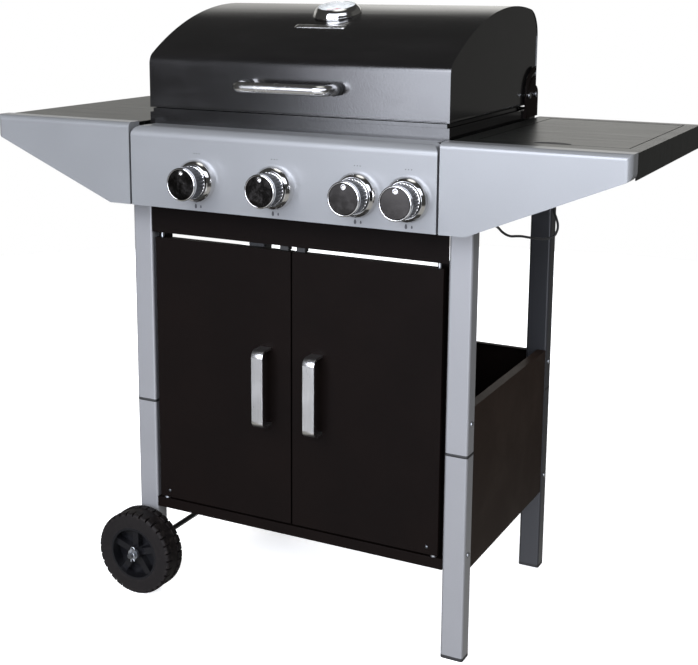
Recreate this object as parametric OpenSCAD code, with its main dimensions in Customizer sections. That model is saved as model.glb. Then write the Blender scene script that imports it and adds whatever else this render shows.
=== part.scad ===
// Gas barbecue grill: tube stand, two-door cabinet, domed lid, side shelves and a side burner.
// Axes: X to the right seen from the front, Y to the back, Z up. The floor is z = 0.
// In the modules below, y = 0 is the front face of the front legs. place() then moves
// every node so that the origin is the middle of the footprint.

/* [Stand] */
// Width over the outer faces of the legs
stand_w = 650; // [560:5:800]
// Depth over the outer faces of the legs
stand_d = 430; // [380:2:520]
// Width of a leg tube, along X
leg_w = 40; // [30:1:50]
// Depth of a leg tube, along Y
leg_d = 30; // [25:1:40]
// Wall of a leg tube
tube_wall = 1.5; // [1:0.1:3]
// Corner radius of a leg tube
leg_r = 4; // [2:0.5:6]
// Height of the joint between the upper and lower leg tubes
leg_joint_z = 361; // [300:1:420]
// Height of the black joint collar
collar_h = 3; // [2:0.5:8]
// Height of the foot cap below the leg tube
foot_h = 6; // [4:0.5:15]

/* [Cabinet] */
// Thickness of the sheet metal
sheet = 1.5; // [1:0.1:2.5]
// Height of the base tray's underside
tray_z = 157; // [120:1:200]
// Depth of the base tray, and so of its front rail
tray_h = 19; // [15:1:35]
// Top edge of the side panels
side_panel_top = 439; // [380:1:520]
// Top edge of the back panel
back_panel_top = 430; // [380:1:520]
// Gap between the base rail and the doors
door_bottom_gap = 4; // [3:0.5:10]
// Top edge of the doors
door_top = 669; // [600:1:700]
// Gap between the doors and the header
door_top_gap = 9; // [5:0.5:14]
// Gap between the two doors
door_gap = 3; // [2:0.5:6]
// Gap between a door and its leg
door_leg_gap = 8; // [6:0.5:14]
// Thickness of a door over its folded edges
door_t = 16; // [12:1:24]
// Radius of a door hinge pin
door_pin_r = 3; // [2:0.5:4]
// Distance of the hinge pin from the door's outer edge
door_pin_in = 10; // [8:1:16]

/* [Door handles] */
// Length of the handle bar
grip_l = 140; // [100:2:220]
// Width of the handle bar
grip_w = 22; // [14:1:30]
// Thickness of the handle bar
grip_t = 4; // [3:0.5:8]
// Distance from the door to the outside of the bar
grip_out = 33; // [25:1:45]
// Height of the handle's middle
grip_z = 427; // [350:1:520]
// Distance of the handle from the middle of the cabinet
grip_x = 50; // [35:1:80]
// Outside bend radius of the bar
grip_r = 13; // [8:0.5:18]

/* [Control panel] */
// Distance from the legs forward to the panel's face
panel_out = 57.5; // [50:0.5:80]
// Lower edge of the control panel
panel_z0 = 735.5; // [715:0.5:760]
// Upper edge of the control panel
panel_z1 = 873; // [850:0.5:876]
// Gap between the control panel and a shelf front
panel_gap = 4; // [2:0.5:6]
// Radius of the panel's top front edge
panel_r = 17; // [8:0.5:20]
// Radius of the panel's upper corners
panel_corner_r = 15; // [5:0.5:25]
// Depth of the folded edges of the panel and the shelf fronts
fold_d = 32; // [20:1:32]
// Distance from a front leg to the side burner's knob
side_knob_in = 47; // [40:1:60]
// Distance between the side burner's knob and the next one
side_knob_gap = 88; // [76:1:100]
// Height of the knobs
knob_z = 787; // [775:1:800]

/* [Knobs] */
// Diameter of a knob
knob_d = 56; // [40:1:58]
// Distance from the panel to the knob's face
knob_out = 50; // [40:1:60]
// Diameter of the domed bezel behind a knob
bezel_d = 73; // [66:1:76]
// Height of the domed bezel
bezel_h = 16; // [10:0.5:20]
// Gap between a knob and its bezel
knob_gap = 1; // [0.6:0.1:2]
// Radius of a valve stem
stem_r = 4; // [3:0.5:6]
// How far a knob pushes in
knob_push = 4; // [3:0.5:6]
// Number of grip flutes on a knob
knob_flutes = 30; // [16:1:40]

/* [Firebox] */
// Gap between the firebox and the legs
box_leg_gap = 3.5; // [2:0.5:8]
// Distance from the legs' front faces forward to the firebox
box_front = 2; // [0:0.5:6]
// Distance from the firebox forward to the legs' rear faces
box_back = 16; // [14:1:40]
// Underside of the firebox
box_z0 = 745; // [740:1:752]
// Rim of the firebox
box_z1 = 893; // [886:0.5:894]
// Outer radius of a burner tube
burner_r = 17.5; // [12:0.5:18]
// Underside of the cooking grates
grate_z = 856; // [846:1:860]
// Thickness of the cooking grates
grate_t = 10; // [8:0.5:14]
// Width of a grate bar
grate_bar = 6; // [4:0.5:8]
// Number of slots in a grate
grate_slots = 17; // [10:1:22]

/* [Lid] */
// Lower edge of the lid
lid_z0 = 901; // [899:0.5:906]
// Height of the lid's straight front wall
lid_wall = 75; // [65:1:90]
// Height of the lid's highest point
lid_top = 1077; // [1050:1:1120]
// Distance from the legs' rear faces forward to the highest point
lid_peak_back = 140; // [100:1:200]
// Radius of the bend between the front wall and the arch
lid_front_r = 22; // [12:1:40]
// Radius of the bend between the arch and the back wall
lid_back_r = 50; // [25:1:70]
// Thickness of the lid's sheet
lid_t = 1.5; // [1:0.1:2.5]
// Height of the lid hinge
hinge_z = 918; // [917.5:0.5:925]
// Distance from the lid's back wall forward to the hinge
hinge_in = 16; // [14:1:24]
// Radius of the curved slot round the hinge
slot_r = 37; // [30:1:45]

/* [Lid handle] */
// Length of the handle over its outside
handle_l = 188; // [140:2:320]
// Diameter of the handle tube
handle_d = 18; // [14:1:24]
// Distance from the lid to the handle's middle line
handle_out = 42; // [34:1:60]
// Height of the handle
handle_z = 946; // [925:1:965]
// Bend radius of the handle's middle line
handle_bend = 18; // [14:1:22]
// Length of a standoff between the lid and the handle
standoff_l = 12; // [6:1:14]

/* [Thermometer] */
// Diameter of the thermometer
thermo_d = 86; // [60:1:90]
// Height of the thermometer's case
thermo_h = 17; // [14:1:22]
// Place of the thermometer, from the legs' front faces
thermo_y = 165; // [120:1:200]

/* [Side shelves] */
// Width over both shelves
shelf_span = 1164; // [1000:2:1400]
// Height of the shelves' top
shelf_z = 878; // [877:0.5:884]
// Width of the part of a shelf front that hangs to full depth
front_full_w = 43; // [30:1:60]
// Height of the outer end of a shelf front
front_end_h = 41; // [35:1:80]
// Corner radius at the outer end of a shelf front
front_corner_r = 14; // [6:1:20]
// Radius of the upright edge at the outer end of a shelf front
front_end_r = 10; // [3:0.5:16]
// Radius of the top front edge of a shelf front
front_edge_r = 9; // [4:0.5:14]
// Depth of the shelf's folded end and rear edges
skirt_h = 40; // [25:1:60]
// Height of the channels under a shelf
channel_h = 15; // [12:1:17]

/* [Side burner] */
// How far the side burner's opening reaches in over the legs
well_in = 5; // [1:1:8]
// Shelf left beyond the opening, at the outer end
well_rim = 24; // [20:1:60]
// Distance from the legs' front faces to the opening
well_y = 22; // [20:1:30]
// Distance from the legs' rear faces forward to the opening
well_back = 40; // [38:1:60]
// Depth of the ledge that the bowl hangs on
well_h = 14; // [12:1:16]
// Width of that ledge
ledge_w = 15; // [10:1:20]
// Depth of the bowl below its flange
bowl_h = 42; // [30:1:60]
// Width of the finger notch in the burner lid
notch_w = 43; // [30:1:60]
// Depth of the finger notch
notch_d = 12; // [8:1:16]
// Seam round the burner lid
seam = 2; // [1:0.5:3]
// Radius of the burner lid's hinge pins
flap_pin_r = 2.5; // [2:0.5:3]

/* [Wheels] */
// Diameter of a wheel
wheel_d = 156; // [130:1:200]
// Width of a tyre
wheel_w = 48; // [30:1:60]
// Radius of the rim, where the tyre starts
rim_r = 50; // [35:1:58]
// Number of spokes
spokes = 5; // [3:1:8]
// Number of tread blocks on each shoulder
tread_blocks = 32; // [20:2:40]
// Radius of the axle
axle_r = 5; // [4:0.5:8]
// Washer between a wheel and its leg
washer_t = 5.5; // [2:0.5:10]

/* [Hidden] */
$fn = 64;

fit = 0.05;            // radial clearance of a running fit
clear = 0.5;           // clearance between faces that pass each other
hw = stand_w / 2;
leg_in = hw - leg_w;   // inner face of the legs
rear_y = stand_d - leg_d;
face_y = -panel_out;
side_knob_x = leg_in - side_knob_in;
burner_pitch = side_knob_x - side_knob_gap;
knob_face_y = face_y - knob_out;
wheel_gap = 0.3;       // play on each side of a wheel
wheel_y = -(washer_t + 2 * wheel_gap);   // inner face of the front wheel's zone
axle_end = 12;         // axle beyond a wheel, for its washer and clip
axle_z = wheel_d / 2;
axle_x = -(hw - leg_w / 2);
y_front = knob_face_y;
y_back = stand_d - wheel_y + wheel_w + axle_end;
y_mid = (y_front + y_back) / 2;

// Firebox and lid
box_x = leg_in - box_leg_gap;
box_y0 = -box_front;
box_y1 = stand_d - box_back;
hinge_y = box_y1 - hinge_in;
lid_peak_y = stand_d - lid_peak_back;
front_cy = box_y0 + lid_front_r;         // centres of the two bends
front_cz = lid_z0 + lid_wall;
lid_rise = lid_top - front_cz;
// The arch touches the front bend and is level at the peak
lid_arch_r = (pow(lid_peak_y - front_cy, 2) + pow(lid_rise, 2) - pow(lid_front_r, 2))
    / (2 * (lid_rise - lid_front_r));
arch_z = lid_top - lid_arch_r;           // height of the arch's centre
back_cy = box_y1 - lid_back_r;
back_cz = arch_z + sqrt(pow(lid_arch_r - lid_back_r, 2) - pow(back_cy - lid_peak_y, 2));
thermo_z = arch_z + sqrt(pow(lid_arch_r, 2) - pow(lid_peak_y - thermo_y, 2));
thermo_tilt = asin((lid_peak_y - thermo_y) / lid_arch_r);
glass_r = thermo_d / 2 - 9;
glass_lip = 1.5;        // ring's lip over the glass
glass_t = 2;
glass_z = thermo_h - 6; // underside of the glass
dial_z = glass_z - 3;   // top of the dial plate, above the lid
rail_h = 42;            // height of the rear cross rail
bracket_t = 3;
bracket_gap = 1.5;     // between a lid end and its bracket
bracket_x = box_x + bracket_gap;
pin_r = 2.5;           // stop pins and pivot screws
end_inset = 1;         // lid ends sit this far inside the shell's edge

// Cooking grates
grate_w = box_x - sheet - 2;
grate_frame = 9;
grate_gap = 2;          // between the two grates
grate_slot_w = (grate_w - 2 * grate_frame - (grate_slots - 1) * grate_bar) / grate_slots;
slot_x0 = grate_gap / 2 + grate_frame - 0.5;
// The warming rack's feet stand on the outermost bar of each grate
rack_x = slot_x0 + (grate_slots - 1) * (grate_slot_w + grate_bar) - 0.35;

// Doors
rail_top = tray_z + tray_h;
door_z0 = rail_top + door_bottom_gap;
header_z0 = door_top + door_top_gap;
door_y = -1;           // front face of the doors
door_x1 = leg_in - door_leg_gap;
door_x0 = door_gap / 2;
door_pin_x = door_x1 - door_pin_in;
door_pin_y = door_y + door_t / 2;

// Shelves
shelf_x0 = leg_in + panel_gap;           // inner edge of a shelf front
shelf_x1 = shelf_span / 2;
deck_z = shelf_z - sheet;                // top of the deck, under the front's lip
deck_x1 = shelf_x1 - sheet;
deck_y0 = face_y + fold_d - 14;
deck_y1 = box_y1;
leg_top = deck_z - sheet - channel_h;
slope_x0 = shelf_x0 + front_full_w;
slope_z1 = shelf_z - front_end_h;

// Side burner
well_x = hw - well_in;
well_x1 = shelf_x1 - well_rim;
well_w = well_x1 - well_x;
well_y1 = stand_d - well_back;
well_d = well_y1 - well_y;
ledge_z = deck_z - well_h;
burner_x = well_x + well_w / 2;
burner_y = well_y + well_d / 2;
flap_hinge_y = well_y1 - 10;
flap_hinge_z = deck_z - 6;
flap_rear_gap = 4.8;
flap_skirt = 8;
bowl_z0 = ledge_z - bowl_h;
electrode_x = burner_x - 18;
electrode_y = burner_y - 54;

// Gas line
pipe_r = 8;
pipe_y = -16;
pipe_z = knob_z - 22;
thin_pipe_r = 4;
thin_pipe_z = knob_z - 6;
thin_bend = 18;
nozzle_x = -(hw + 25);
nozzle_r = 4.5;
nozzle_l = 28;
stem_tip_y = knob_face_y + 18;           // front end of a stem, inside its knob
stem_root_y = -30;
knob_x = [-burner_pitch, 0, burner_pitch, side_knob_x];

// Drip tray
drip_z = box_z0 - 36;
drip_x = 245;
drip_h = 22;
drip_y0 = 34;
drip_y1 = box_y1 - 8;

// Ignition lead, from the side burner's valve to its electrode
lead_d = 4;
lead_points = [
    [250, -26, 788], [262, -26, 787], [275, -24, 780], [286, -22, 770], [296, -19, 762], [307, -15, 757],
    [318, -11, 754], [329, -4, 752], [338, 10, 749], [345, 24, 744], [351, 36, 738], [357, 46, 728],
    [365, 58, 721], [372, 67, 720], [378, 75, 719], [387, 86, 716], [398, 98, 713], [409, 110, 712],
    [417, 118, 715], [421, 123, 723], [421, 127, 732], [417, 131, 742], [411, 136, 752], [408, 141, 761],
    [410, 146, 769], [416, 150, 776], [421, 152, 784]
];
lead_steps = 2;
lead_sides = 8;

// ---- shared shapes ----

module place() translate([0, -y_mid, 0]) children();

// A 2D shape in X and Z, drawn out from y0 to y1
module prism_y(y0, y1) translate([0, y1, 0]) rotate([90, 0, 0]) linear_extrude(y1 - y0) children();

// A 2D shape in Y and Z, drawn out from x0 to x1
module prism_x(x0, x1) translate([x0, 0, 0]) rotate([90, 0, 90]) linear_extrude(x1 - x0) children();

// A box from its lowest to its highest corner
module span(a, b) translate(a) cube(b - a);

// A cylinder along Y from y0 to y1
module rod_y(x, z, r, y0, y1) translate([x, y0, z]) rotate([-90, 0, 0]) cylinder(r = r, h = y1 - y0);

// A cylinder along X from x0 to x1
module rod_x(y, z, r, x0, x1) translate([x0, y, z]) rotate([0, 90, 0]) cylinder(r = r, h = x1 - x0);

// A rectangle with round corners, centred
module round_rect(w, d, r) {
    square([w - 2 * r, d], center = true);
    square([w, d - 2 * r], center = true);
    for (x = [-1, 1], y = [-1, 1])
        translate([x * (w / 2 - r), y * (d / 2 - r)]) circle(r);
}

module both_sides() {
    children();
    mirror([1, 0, 0]) children();
}

// ---- stand ----

module leg_section(inset = 0) {
    round_rect(leg_w - 2 * inset, leg_d - 2 * inset, leg_r - inset);
}

module leg_tube(z0, z1) {
    translate([0, 0, z0]) linear_extrude(z1 - z0) difference() {
        leg_section();
        leg_section(tube_wall);
    }
}

// side is -1 on the left and 1 on the right; the left legs stop above the floor and carry the axle
module leg(side, y) {
    x = side * (hw - leg_w / 2);
    z0 = side < 0 ? axle_z - leg_w / 2 - 3 : foot_h;
    color("silver") translate([x, y + leg_d / 2, 0]) {
        leg_tube(leg_joint_z + collar_h / 2, leg_top);
        difference() {
            leg_tube(z0, leg_joint_z - collar_h / 2);
            if (side < 0) rod_y(0, axle_z, axle_r, -leg_d, leg_d);
        }
    }
}

module at_legs(sides = [-1, 1]) {
    for (s = sides, y = [0, rear_y])
        translate([s * (hw - leg_w / 2), y + leg_d / 2, 0]) children();
}

// A collar shows between the tubes, and its spigot runs up and down inside them
module leg_collars() {
    spigot = 22;
    color("black") at_legs() {
        translate([0, 0, leg_joint_z - collar_h / 2]) linear_extrude(collar_h) leg_section();
        translate([0, 0, leg_joint_z - spigot]) linear_extrude(2 * spigot) leg_section(tube_wall);
    }
}

module foot_caps() {
    color("black") at_legs([1]) {
        linear_extrude(foot_h) leg_section();
        linear_extrude(foot_h + 15) leg_section(tube_wall);
    }
}

// ---- cabinet ----

module side_panel(side) {
    lip = 15;
    x = side * (hw - 3);
    color([0.2, 0.17, 0.14]) {
        span([min(x, x + side * sheet), leg_d, tray_z], [max(x, x + side * sheet), rear_y, side_panel_top]);
        span([min(x, x - side * lip), leg_d, side_panel_top - sheet],
             [max(x, x - side * lip), rear_y, side_panel_top]);
    }
}

module back_panel() {
    lip = 12;
    color([0.12, 0.1, 0.09]) {
        span([-leg_in, stand_d - sheet, tray_z], [leg_in, stand_d, back_panel_top]);
        span([-leg_in, stand_d - lip, back_panel_top - sheet], [leg_in, stand_d, back_panel_top]);
    }
}

module base_tray() {
    x = hw - 3;
    y = stand_d - sheet;
    color([0.12, 0.1, 0.09]) {
        translate([0, 0, tray_z]) linear_extrude(sheet) {
            translate([-leg_in, 0]) square([2 * leg_in, y]);
            translate([-x, leg_d]) square([2 * x, rear_y - leg_d]);
        }
        span([-leg_in, 0, tray_z], [leg_in, sheet, rail_top]);
        span([-leg_in, 0, rail_top - sheet], [leg_in, leg_d * 2 / 3, rail_top]);
        span([-leg_in, y - sheet, tray_z], [leg_in, y, rail_top]);
        both_sides() span([x - sheet, leg_d, tray_z], [x, rear_y, rail_top]);
    }
}

module header_panel() {
    top = panel_z0 - sheet;
    color([0.12, 0.1, 0.09]) difference() {
        union() {
            span([-leg_in, 0, header_z0], [leg_in, sheet, panel_z0]);
            span([-leg_in, face_y + fold_d, top], [leg_in, 12, panel_z0]);
            span([-leg_in, 0, header_z0], [leg_in, 20, header_z0 + sheet]);
        }
        both_sides() translate([door_pin_x, door_pin_y, header_z0 - 1]) cylinder(r = door_pin_r, h = 5);
    }
}

module rear_cross_rail() {
    color([0.12, 0.1, 0.09]) prism_x(-leg_in, leg_in) difference() {
        translate([box_y1, box_z0]) square([box_back, rail_h]);
        translate([box_y1 + sheet, box_z0 + sheet]) square([box_back - 2 * sheet, rail_h - 2 * sheet]);
    }
}

// A folded pan, open to the back, with a hinge block in each outer corner
module door(side) {
    block = 2 * door_pin_in - 2 * sheet;
    mirror([side < 0 ? 1 : 0, 0, 0]) color([0.12, 0.1, 0.09]) difference() {
        union() {
            difference() {
                span([door_x0, door_y, door_z0], [door_x1, door_y + door_t, door_top]);
                span([door_x0 + sheet, door_y + sheet, door_z0 + sheet],
                     [door_x1 - sheet, door_y + door_t + 1, door_top - sheet]);
            }
            for (z = [door_z0, door_top - 12])
                span([door_x1 - block - sheet, door_y, z], [door_x1, door_y + door_t, z + 12]);
        }
        for (z = [door_z0 - 1, door_top - 13])
            translate([door_pin_x, door_pin_y, z]) cylinder(r = door_pin_r + fit, h = 14);
    }
}

// A flat bar bent to a U, standing on the door
module door_handle(side) {
    y0 = door_y - grip_out;
    color("gainsboro") translate([side * grip_x, 0, 0]) prism_x(-grip_w / 2, grip_w / 2) difference() {
        grip_outline(y0, 0);
        grip_outline(y0, grip_t);
    }
}

// Outline of the bent bar in Y and Z, inset by d, running past the door's face on the inside
module grip_outline(y0, d) {
    r = grip_r - d;
    end = door_y + (d > 0 ? 1 : 0);
    for (s = [-1, 1]) translate([y0 + grip_r, grip_z + s * (grip_l / 2 - grip_r)]) circle(r);
    translate([y0 + d, grip_z - grip_l / 2 + grip_r]) square([end - y0 - d, grip_l - 2 * grip_r]);
    translate([y0 + grip_r, grip_z - grip_l / 2 + d]) square([end - y0 - grip_r, grip_l - 2 * d]);
}

module door_hinge_pins() {
    color("silver") both_sides() {
        translate([door_pin_x, door_pin_y, rail_top]) cylinder(r = door_pin_r, h = door_bottom_gap + 11);
        translate([door_pin_x, door_pin_y, rail_top]) cylinder(r = door_pin_r * 2, h = door_bottom_gap - clear);
        translate([door_pin_x, door_pin_y, door_top - 11])
            cylinder(r = door_pin_r, h = header_z0 + sheet - door_top + 11 + 3);
    }
}

// Magnetic catches under the header, one for each door
module door_catches() {
    color("dimgray") both_sides()
        span([8, 3, door_top + 1], [24, 16, header_z0]);
}

// ---- controls ----

// Region in Y and Z behind the panel's face and under its rounded top edge, inset by d
module edge_profile(z1, r, d) {
    depth = fold_d + (d > 0 ? 1 : 0);
    translate([face_y + r, z1 - r]) circle(r - d);
    translate([face_y + d, 0]) square([depth - d, z1 - r]);
    translate([face_y + r, 0]) square([depth - r, z1 - d]);
}

module panel_outline(d) {
    w = leg_in - d;
    r = panel_corner_r - d;
    z0 = panel_z0 + d;
    z1 = panel_z1 - d;
    translate([-w, z0]) square([2 * w, z1 - z0 - r]);
    translate([-w + r, z0]) square([2 * (w - r), z1 - z0]);
    for (s = [-1, 1]) translate([s * (w - r), z1 - r]) circle(r);
}

module control_panel() {
    color([0.77, 0.78, 0.81]) difference() {
        union() {
            difference() {
                intersection() {
                    prism_y(face_y, face_y + fold_d) panel_outline(0);
                    prism_x(-leg_in, leg_in) edge_profile(panel_z1, panel_r, 0);
                }
                intersection() {
                    prism_y(face_y, face_y + fold_d + 1) panel_outline(sheet);
                    prism_x(-leg_in, leg_in) edge_profile(panel_z1, panel_r, sheet);
                }
            }
            span([-leg_in + panel_corner_r, face_y + fold_d - sheet, panel_z1 - sheet],
                 [leg_in - panel_corner_r, box_y0, panel_z1]);
        }
        for (x = knob_x) rod_y(x, knob_z, stem_r + 4, face_y - 1, face_y + 5);
    }
}

module bezel_profile() {
    r0 = knob_d / 2 + knob_gap;
    dome = bezel_h;
    intersection() {
        translate([r0, 0]) square([bezel_d / 2 - r0, bezel_h]);
        union() {
            translate([bezel_d / 2 - dome, 3]) circle(dome);
            square([bezel_d / 2, 3]);
        }
    }
}

module knob_bezels() {
    color("gainsboro") for (x = knob_x)
        translate([x, face_y, knob_z]) rotate([90, 0, 0]) rotate_extrude() bezel_profile();
}

// A fluted band between two smooth rings, with a dished face and an indicator dimple
module knob(i) {
    r = knob_d / 2;
    base = knob_push + 2;
    ring = 6;
    flute = 1.6;
    bore = knob_face_y - stem_tip_y;
    color("gray") difference() {
        translate([knob_x[i], face_y, knob_z]) rotate([90, 0, 0]) difference() {
            union() {
                translate([0, 0, base]) cylinder(r = r - 0.4, h = bezel_h + 4 - base);
                translate([0, 0, bezel_h + 4]) linear_extrude(knob_out - bezel_h - 4 - ring) difference() {
                    circle(r - 0.6);
                    for (a = [0 : 360 / knob_flutes : 359])
                        rotate(a) translate([r, 0]) circle(flute);
                }
                translate([0, 0, knob_out - ring]) rotate_extrude() knob_rim_profile(r, ring);
            }
            translate([0, r * 0.68, knob_out + 1.2]) sphere(r = 4);
        }
        rod_y(knob_x[i], knob_z, stem_r + fit, stem_tip_y - clear, face_y + 1);
    }
}

// Outer half of the rim ring, with a rounded front edge and a shallow dish
module knob_rim_profile(r, h) {
    edge = 2;
    dish = 1;
    square([r - edge, h - dish]);
    square([r, h - edge]);
    translate([r - edge, h - edge]) circle(edge);
}

module valve_stem(i) {
    color("silver") difference() {
        rod_y(knob_x[i], knob_z, stem_r, stem_tip_y, stem_root_y);
        translate([knob_x[i] - stem_r, stem_tip_y - 1, knob_z + stem_r * 0.6]) cube([2 * stem_r, 22, stem_r]);
    }
}

module gas_valves() {
    travel = knob_push + 3;
    jet_r = 4;
    color("tan") difference() {
        union() {
            for (x = knob_x) {
                rod_y(x, knob_z, 12, -48, pipe_y);
                span([x - 10, -30, pipe_z], [x + 10, -8, knob_z + 8]);
            }
            for (i = [0, 1, 2]) rod_y(knob_x[i], knob_z, jet_r, -9, 6);
            rod_x(pipe_y - 10, knob_z + 1, 4, side_knob_x + 8, side_knob_x + 12);
        }
        rod_x(pipe_y, pipe_z, pipe_r, -hw, hw);
        for (x = knob_x) rod_y(x, knob_z, stem_r + fit, -50, stem_root_y + travel);
        rod_x(-14, thin_pipe_z, thin_pipe_r, side_knob_x + 4, hw);
    }
}

// A quarter bend from [r, 0] to [0, r] in the XY plane, round the origin
module quarter_bend(bend, r) rotate_extrude(angle = 90) translate([bend, 0]) circle(r);

// The manifold with its hose nozzle, and the thin pipe to the side burner
module gas_manifold() {
    corner_x = burner_x - thin_bend;
    inlet_z = bowl_z0 - 25;
    color("tan") {
        rod_x(pipe_y, pipe_z, pipe_r, nozzle_x - 11, side_knob_x + 14);
        rod_y(nozzle_x, pipe_z, 7, pipe_y, pipe_y + 18);
        rod_y(nozzle_x, pipe_z, nozzle_r, pipe_y, pipe_y + 18 + nozzle_l);
    }
    color("silver") {
        rod_x(-14, thin_pipe_z, thin_pipe_r, side_knob_x + 4, corner_x);
        translate([corner_x, thin_bend - 14, thin_pipe_z]) rotate(-90) quarter_bend(thin_bend, thin_pipe_r);
        rod_y(burner_x, thin_pipe_z, thin_pipe_r, thin_bend - 14, burner_y);
        translate([burner_x, burner_y, thin_pipe_z - 10]) cylinder(r = 9, h = inlet_z - thin_pipe_z + 10);
    }
}

// ---- firebox ----

module firebox() {
    xi = box_x - sheet;
    y0 = box_y0 + sheet;
    y1 = box_y1 - sheet;
    pad_w = 16;
    color([0.1, 0.1, 0.1]) difference() {
        union() {
            difference() {
                span([-box_x, box_y0, box_z0], [box_x, box_y1, box_z1]);
                span([-xi, y0, box_z0 + sheet], [xi, y1, box_z1 + 1]);
            }
            for (z = [grate_z - 4, grate_z - 34]) {
                span([-xi, y0, z], [xi, y0 + 8, z + 4]);
                span([-xi, y1 - 8, z], [xi, y1, z + 4]);
            }
            both_sides() for (y = [7, rear_y + 7], z = [box_z0 + rail_h + 3, grate_z - 21])
                span([box_x, y, z], [leg_in, y + pad_w, z + pad_w]);
        }
        span([-drip_x + 25, drip_y0 + 20, box_z0 - 1], [drip_x - 25, drip_y1 - 20, box_z0 + sheet + 1]);
        for (i = [0, 1, 2]) rod_y(knob_x[i], knob_z, burner_r, box_y0 - 1, y0 + 1);
    }
}

module burner_tubes() {
    color("silver") for (i = [0, 1, 2]) difference() {
        rod_y(knob_x[i], knob_z, burner_r, box_y0, box_y1 - 30);
        rod_y(knob_x[i], knob_z, burner_r - sheet, box_y0 - 1, box_y1 - 32);
    }
}

// Folded sheets over the burners, resting on the lower ledges
module flame_tamers() {
    gap = 54;
    w = (burner_pitch - gap) / 2;
    h = 18;
    z = grate_z - 30;
    color("silver") for (i = [0, 1, 2]) translate([knob_x[i], 0, 0])
        prism_y(box_y0 + sheet + 1, box_y1 - sheet - 1)
            polygon([[-w, z], [0, z + h], [w, z], [w, z + 2], [0, z + h + 2], [-w, z + 2]]);
}

module cooking_grates() {
    d = box_y1 - box_y0 - 2 * sheet - 4;
    slot_l = (d - 3 * grate_frame) / 2;
    color([0.15, 0.15, 0.15]) both_sides()
        translate([0, box_y0 + sheet + 2, grate_z]) linear_extrude(grate_t) difference() {
            translate([grate_gap / 2, 0]) square([grate_w - grate_gap / 2, d]);
            for (i = [0 : grate_slots - 1], j = [0, 1])
                translate([slot_x0 + i * (grate_slot_w + grate_bar), grate_frame + j * (slot_l + grate_frame)])
                    square([grate_slot_w, slot_l]);
        }
}

// Wire rack standing on the grates
module warming_rack() {
    wire_r = 2.5;
    z = lid_z0 + 50;
    foot = grate_z + grate_t;
    ys = [box_y1 - 150, box_y1 - 40];
    bars = 15;
    color("silver") {
        for (y = ys) {
            rod_x(y, z, wire_r, -rack_x, rack_x);
            both_sides() translate([rack_x, y, foot]) cylinder(r = wire_r, h = z - foot);
        }
        for (i = [0 : bars - 1])
            rod_y(-rack_x + i * 2 * rack_x / (bars - 1), z, 2, ys[0], ys[1]);
        both_sides() rod_y(rack_x, foot + 12, wire_r, ys[0], ys[1]);
    }
}

module drip_tray() {
    color("silver") difference() {
        union() {
            span([-drip_x, drip_y0, drip_z + clear + sheet], [drip_x, drip_y1, drip_z + drip_h]);
            span([-60, drip_y1, drip_z + drip_h - sheet], [60, drip_y1 + 18, drip_z + drip_h]);
        }
        span([-drip_x + sheet, drip_y0 + sheet, drip_z + clear + 2 * sheet],
             [drip_x - sheet, drip_y1 - sheet, drip_z + drip_h + 1]);
    }
}

// Channels hung under the firebox, which the tray slides along
module drip_tray_runners() {
    x0 = drip_x + 1;
    color([0.12, 0.1, 0.09]) both_sides() {
        span([x0, drip_y0, drip_z], [x0 + sheet, drip_y1, box_z0]);
        span([x0 - 17, drip_y0, drip_z], [x0, drip_y1, drip_z + sheet]);
        span([x0, drip_y0, box_z0 - sheet], [x0 + 14, drip_y1, box_z0]);
    }
}

// ---- lid ----

// The lid's outline in Y and Z, inset by d: a big arch joined to both walls by round bends
module lid_outline(d = 0) {
    reach = 2 * lid_back_r;
    front_a = atan2(front_cz - arch_z, front_cy - lid_peak_y);
    back_a = atan2(back_cz - arch_z, back_cy - lid_peak_y);
    bottom = lid_z0 - (d > 0 ? 1 : 0);
    difference() {
        intersection() {
            translate([lid_peak_y, arch_z]) circle(lid_arch_r - d, $fn = 256);
            translate([box_y0 + d, bottom]) square([box_y1 - box_y0 - 2 * d, lid_top - bottom + 1]);
        }
        translate([front_cy, front_cz])
            polygon([[0, 0], [-reach, 0], [-reach, reach], [reach * cos(front_a), reach * sin(front_a)]]);
        translate([back_cy, back_cz])
            polygon([[0, 0], [reach, 0], [reach, reach], [reach * cos(back_a), reach * sin(back_a)]]);
    }
    translate([front_cy, front_cz]) circle(lid_front_r - d);
    translate([back_cy, back_cz]) circle(lid_back_r - d);
}

module at_thermometer() {
    translate([0, thermo_y, thermo_z]) rotate([thermo_tilt, 0, 0]) children();
}

module lid_shell() {
    color([0.13, 0.13, 0.14]) difference() {
        prism_x(-box_x, box_x) difference() {
            lid_outline();
            lid_outline(lid_t);
        }
        at_thermometer() cylinder(r = 4, h = 60, center = true);
    }
}

// Pressed end plates, which carry the pivot screws and the stop pins
module lid_ends() {
    inner = box_x - end_inset - sheet;
    color([0.13, 0.13, 0.14]) both_sides() difference() {
        prism_x(inner, box_x - end_inset) intersection() {
            lid_outline(lid_t);
            translate([box_y0, lid_z0]) square([box_y1 - box_y0, lid_top]);
        }
        for (p = [[hinge_y, hinge_z], [hinge_y - slot_r, hinge_z]]) rod_x(p[0], p[1], pin_r, inner - 1, box_x);
    }
}

module lid_handle() {
    x = handle_l / 2 - handle_d / 2;
    y = box_y0 - handle_out;
    r = handle_d / 2;
    color("gainsboro") translate([0, 0, handle_z]) {
        rod_x(y, 0, r, -x + handle_bend, x - handle_bend);
        both_sides() {
            rod_y(x, 0, r, y + handle_bend, box_y0 - standoff_l);
            translate([x - handle_bend, y + handle_bend, 0]) rotate(-90) quarter_bend(handle_bend, r);
        }
    }
}

module lid_handle_standoffs() {
    x = handle_l / 2 - handle_d / 2;
    color("black") both_sides() rod_y(x, handle_z, handle_d / 2 + 1.5, box_y0 - standoff_l, box_y0);
}

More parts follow.
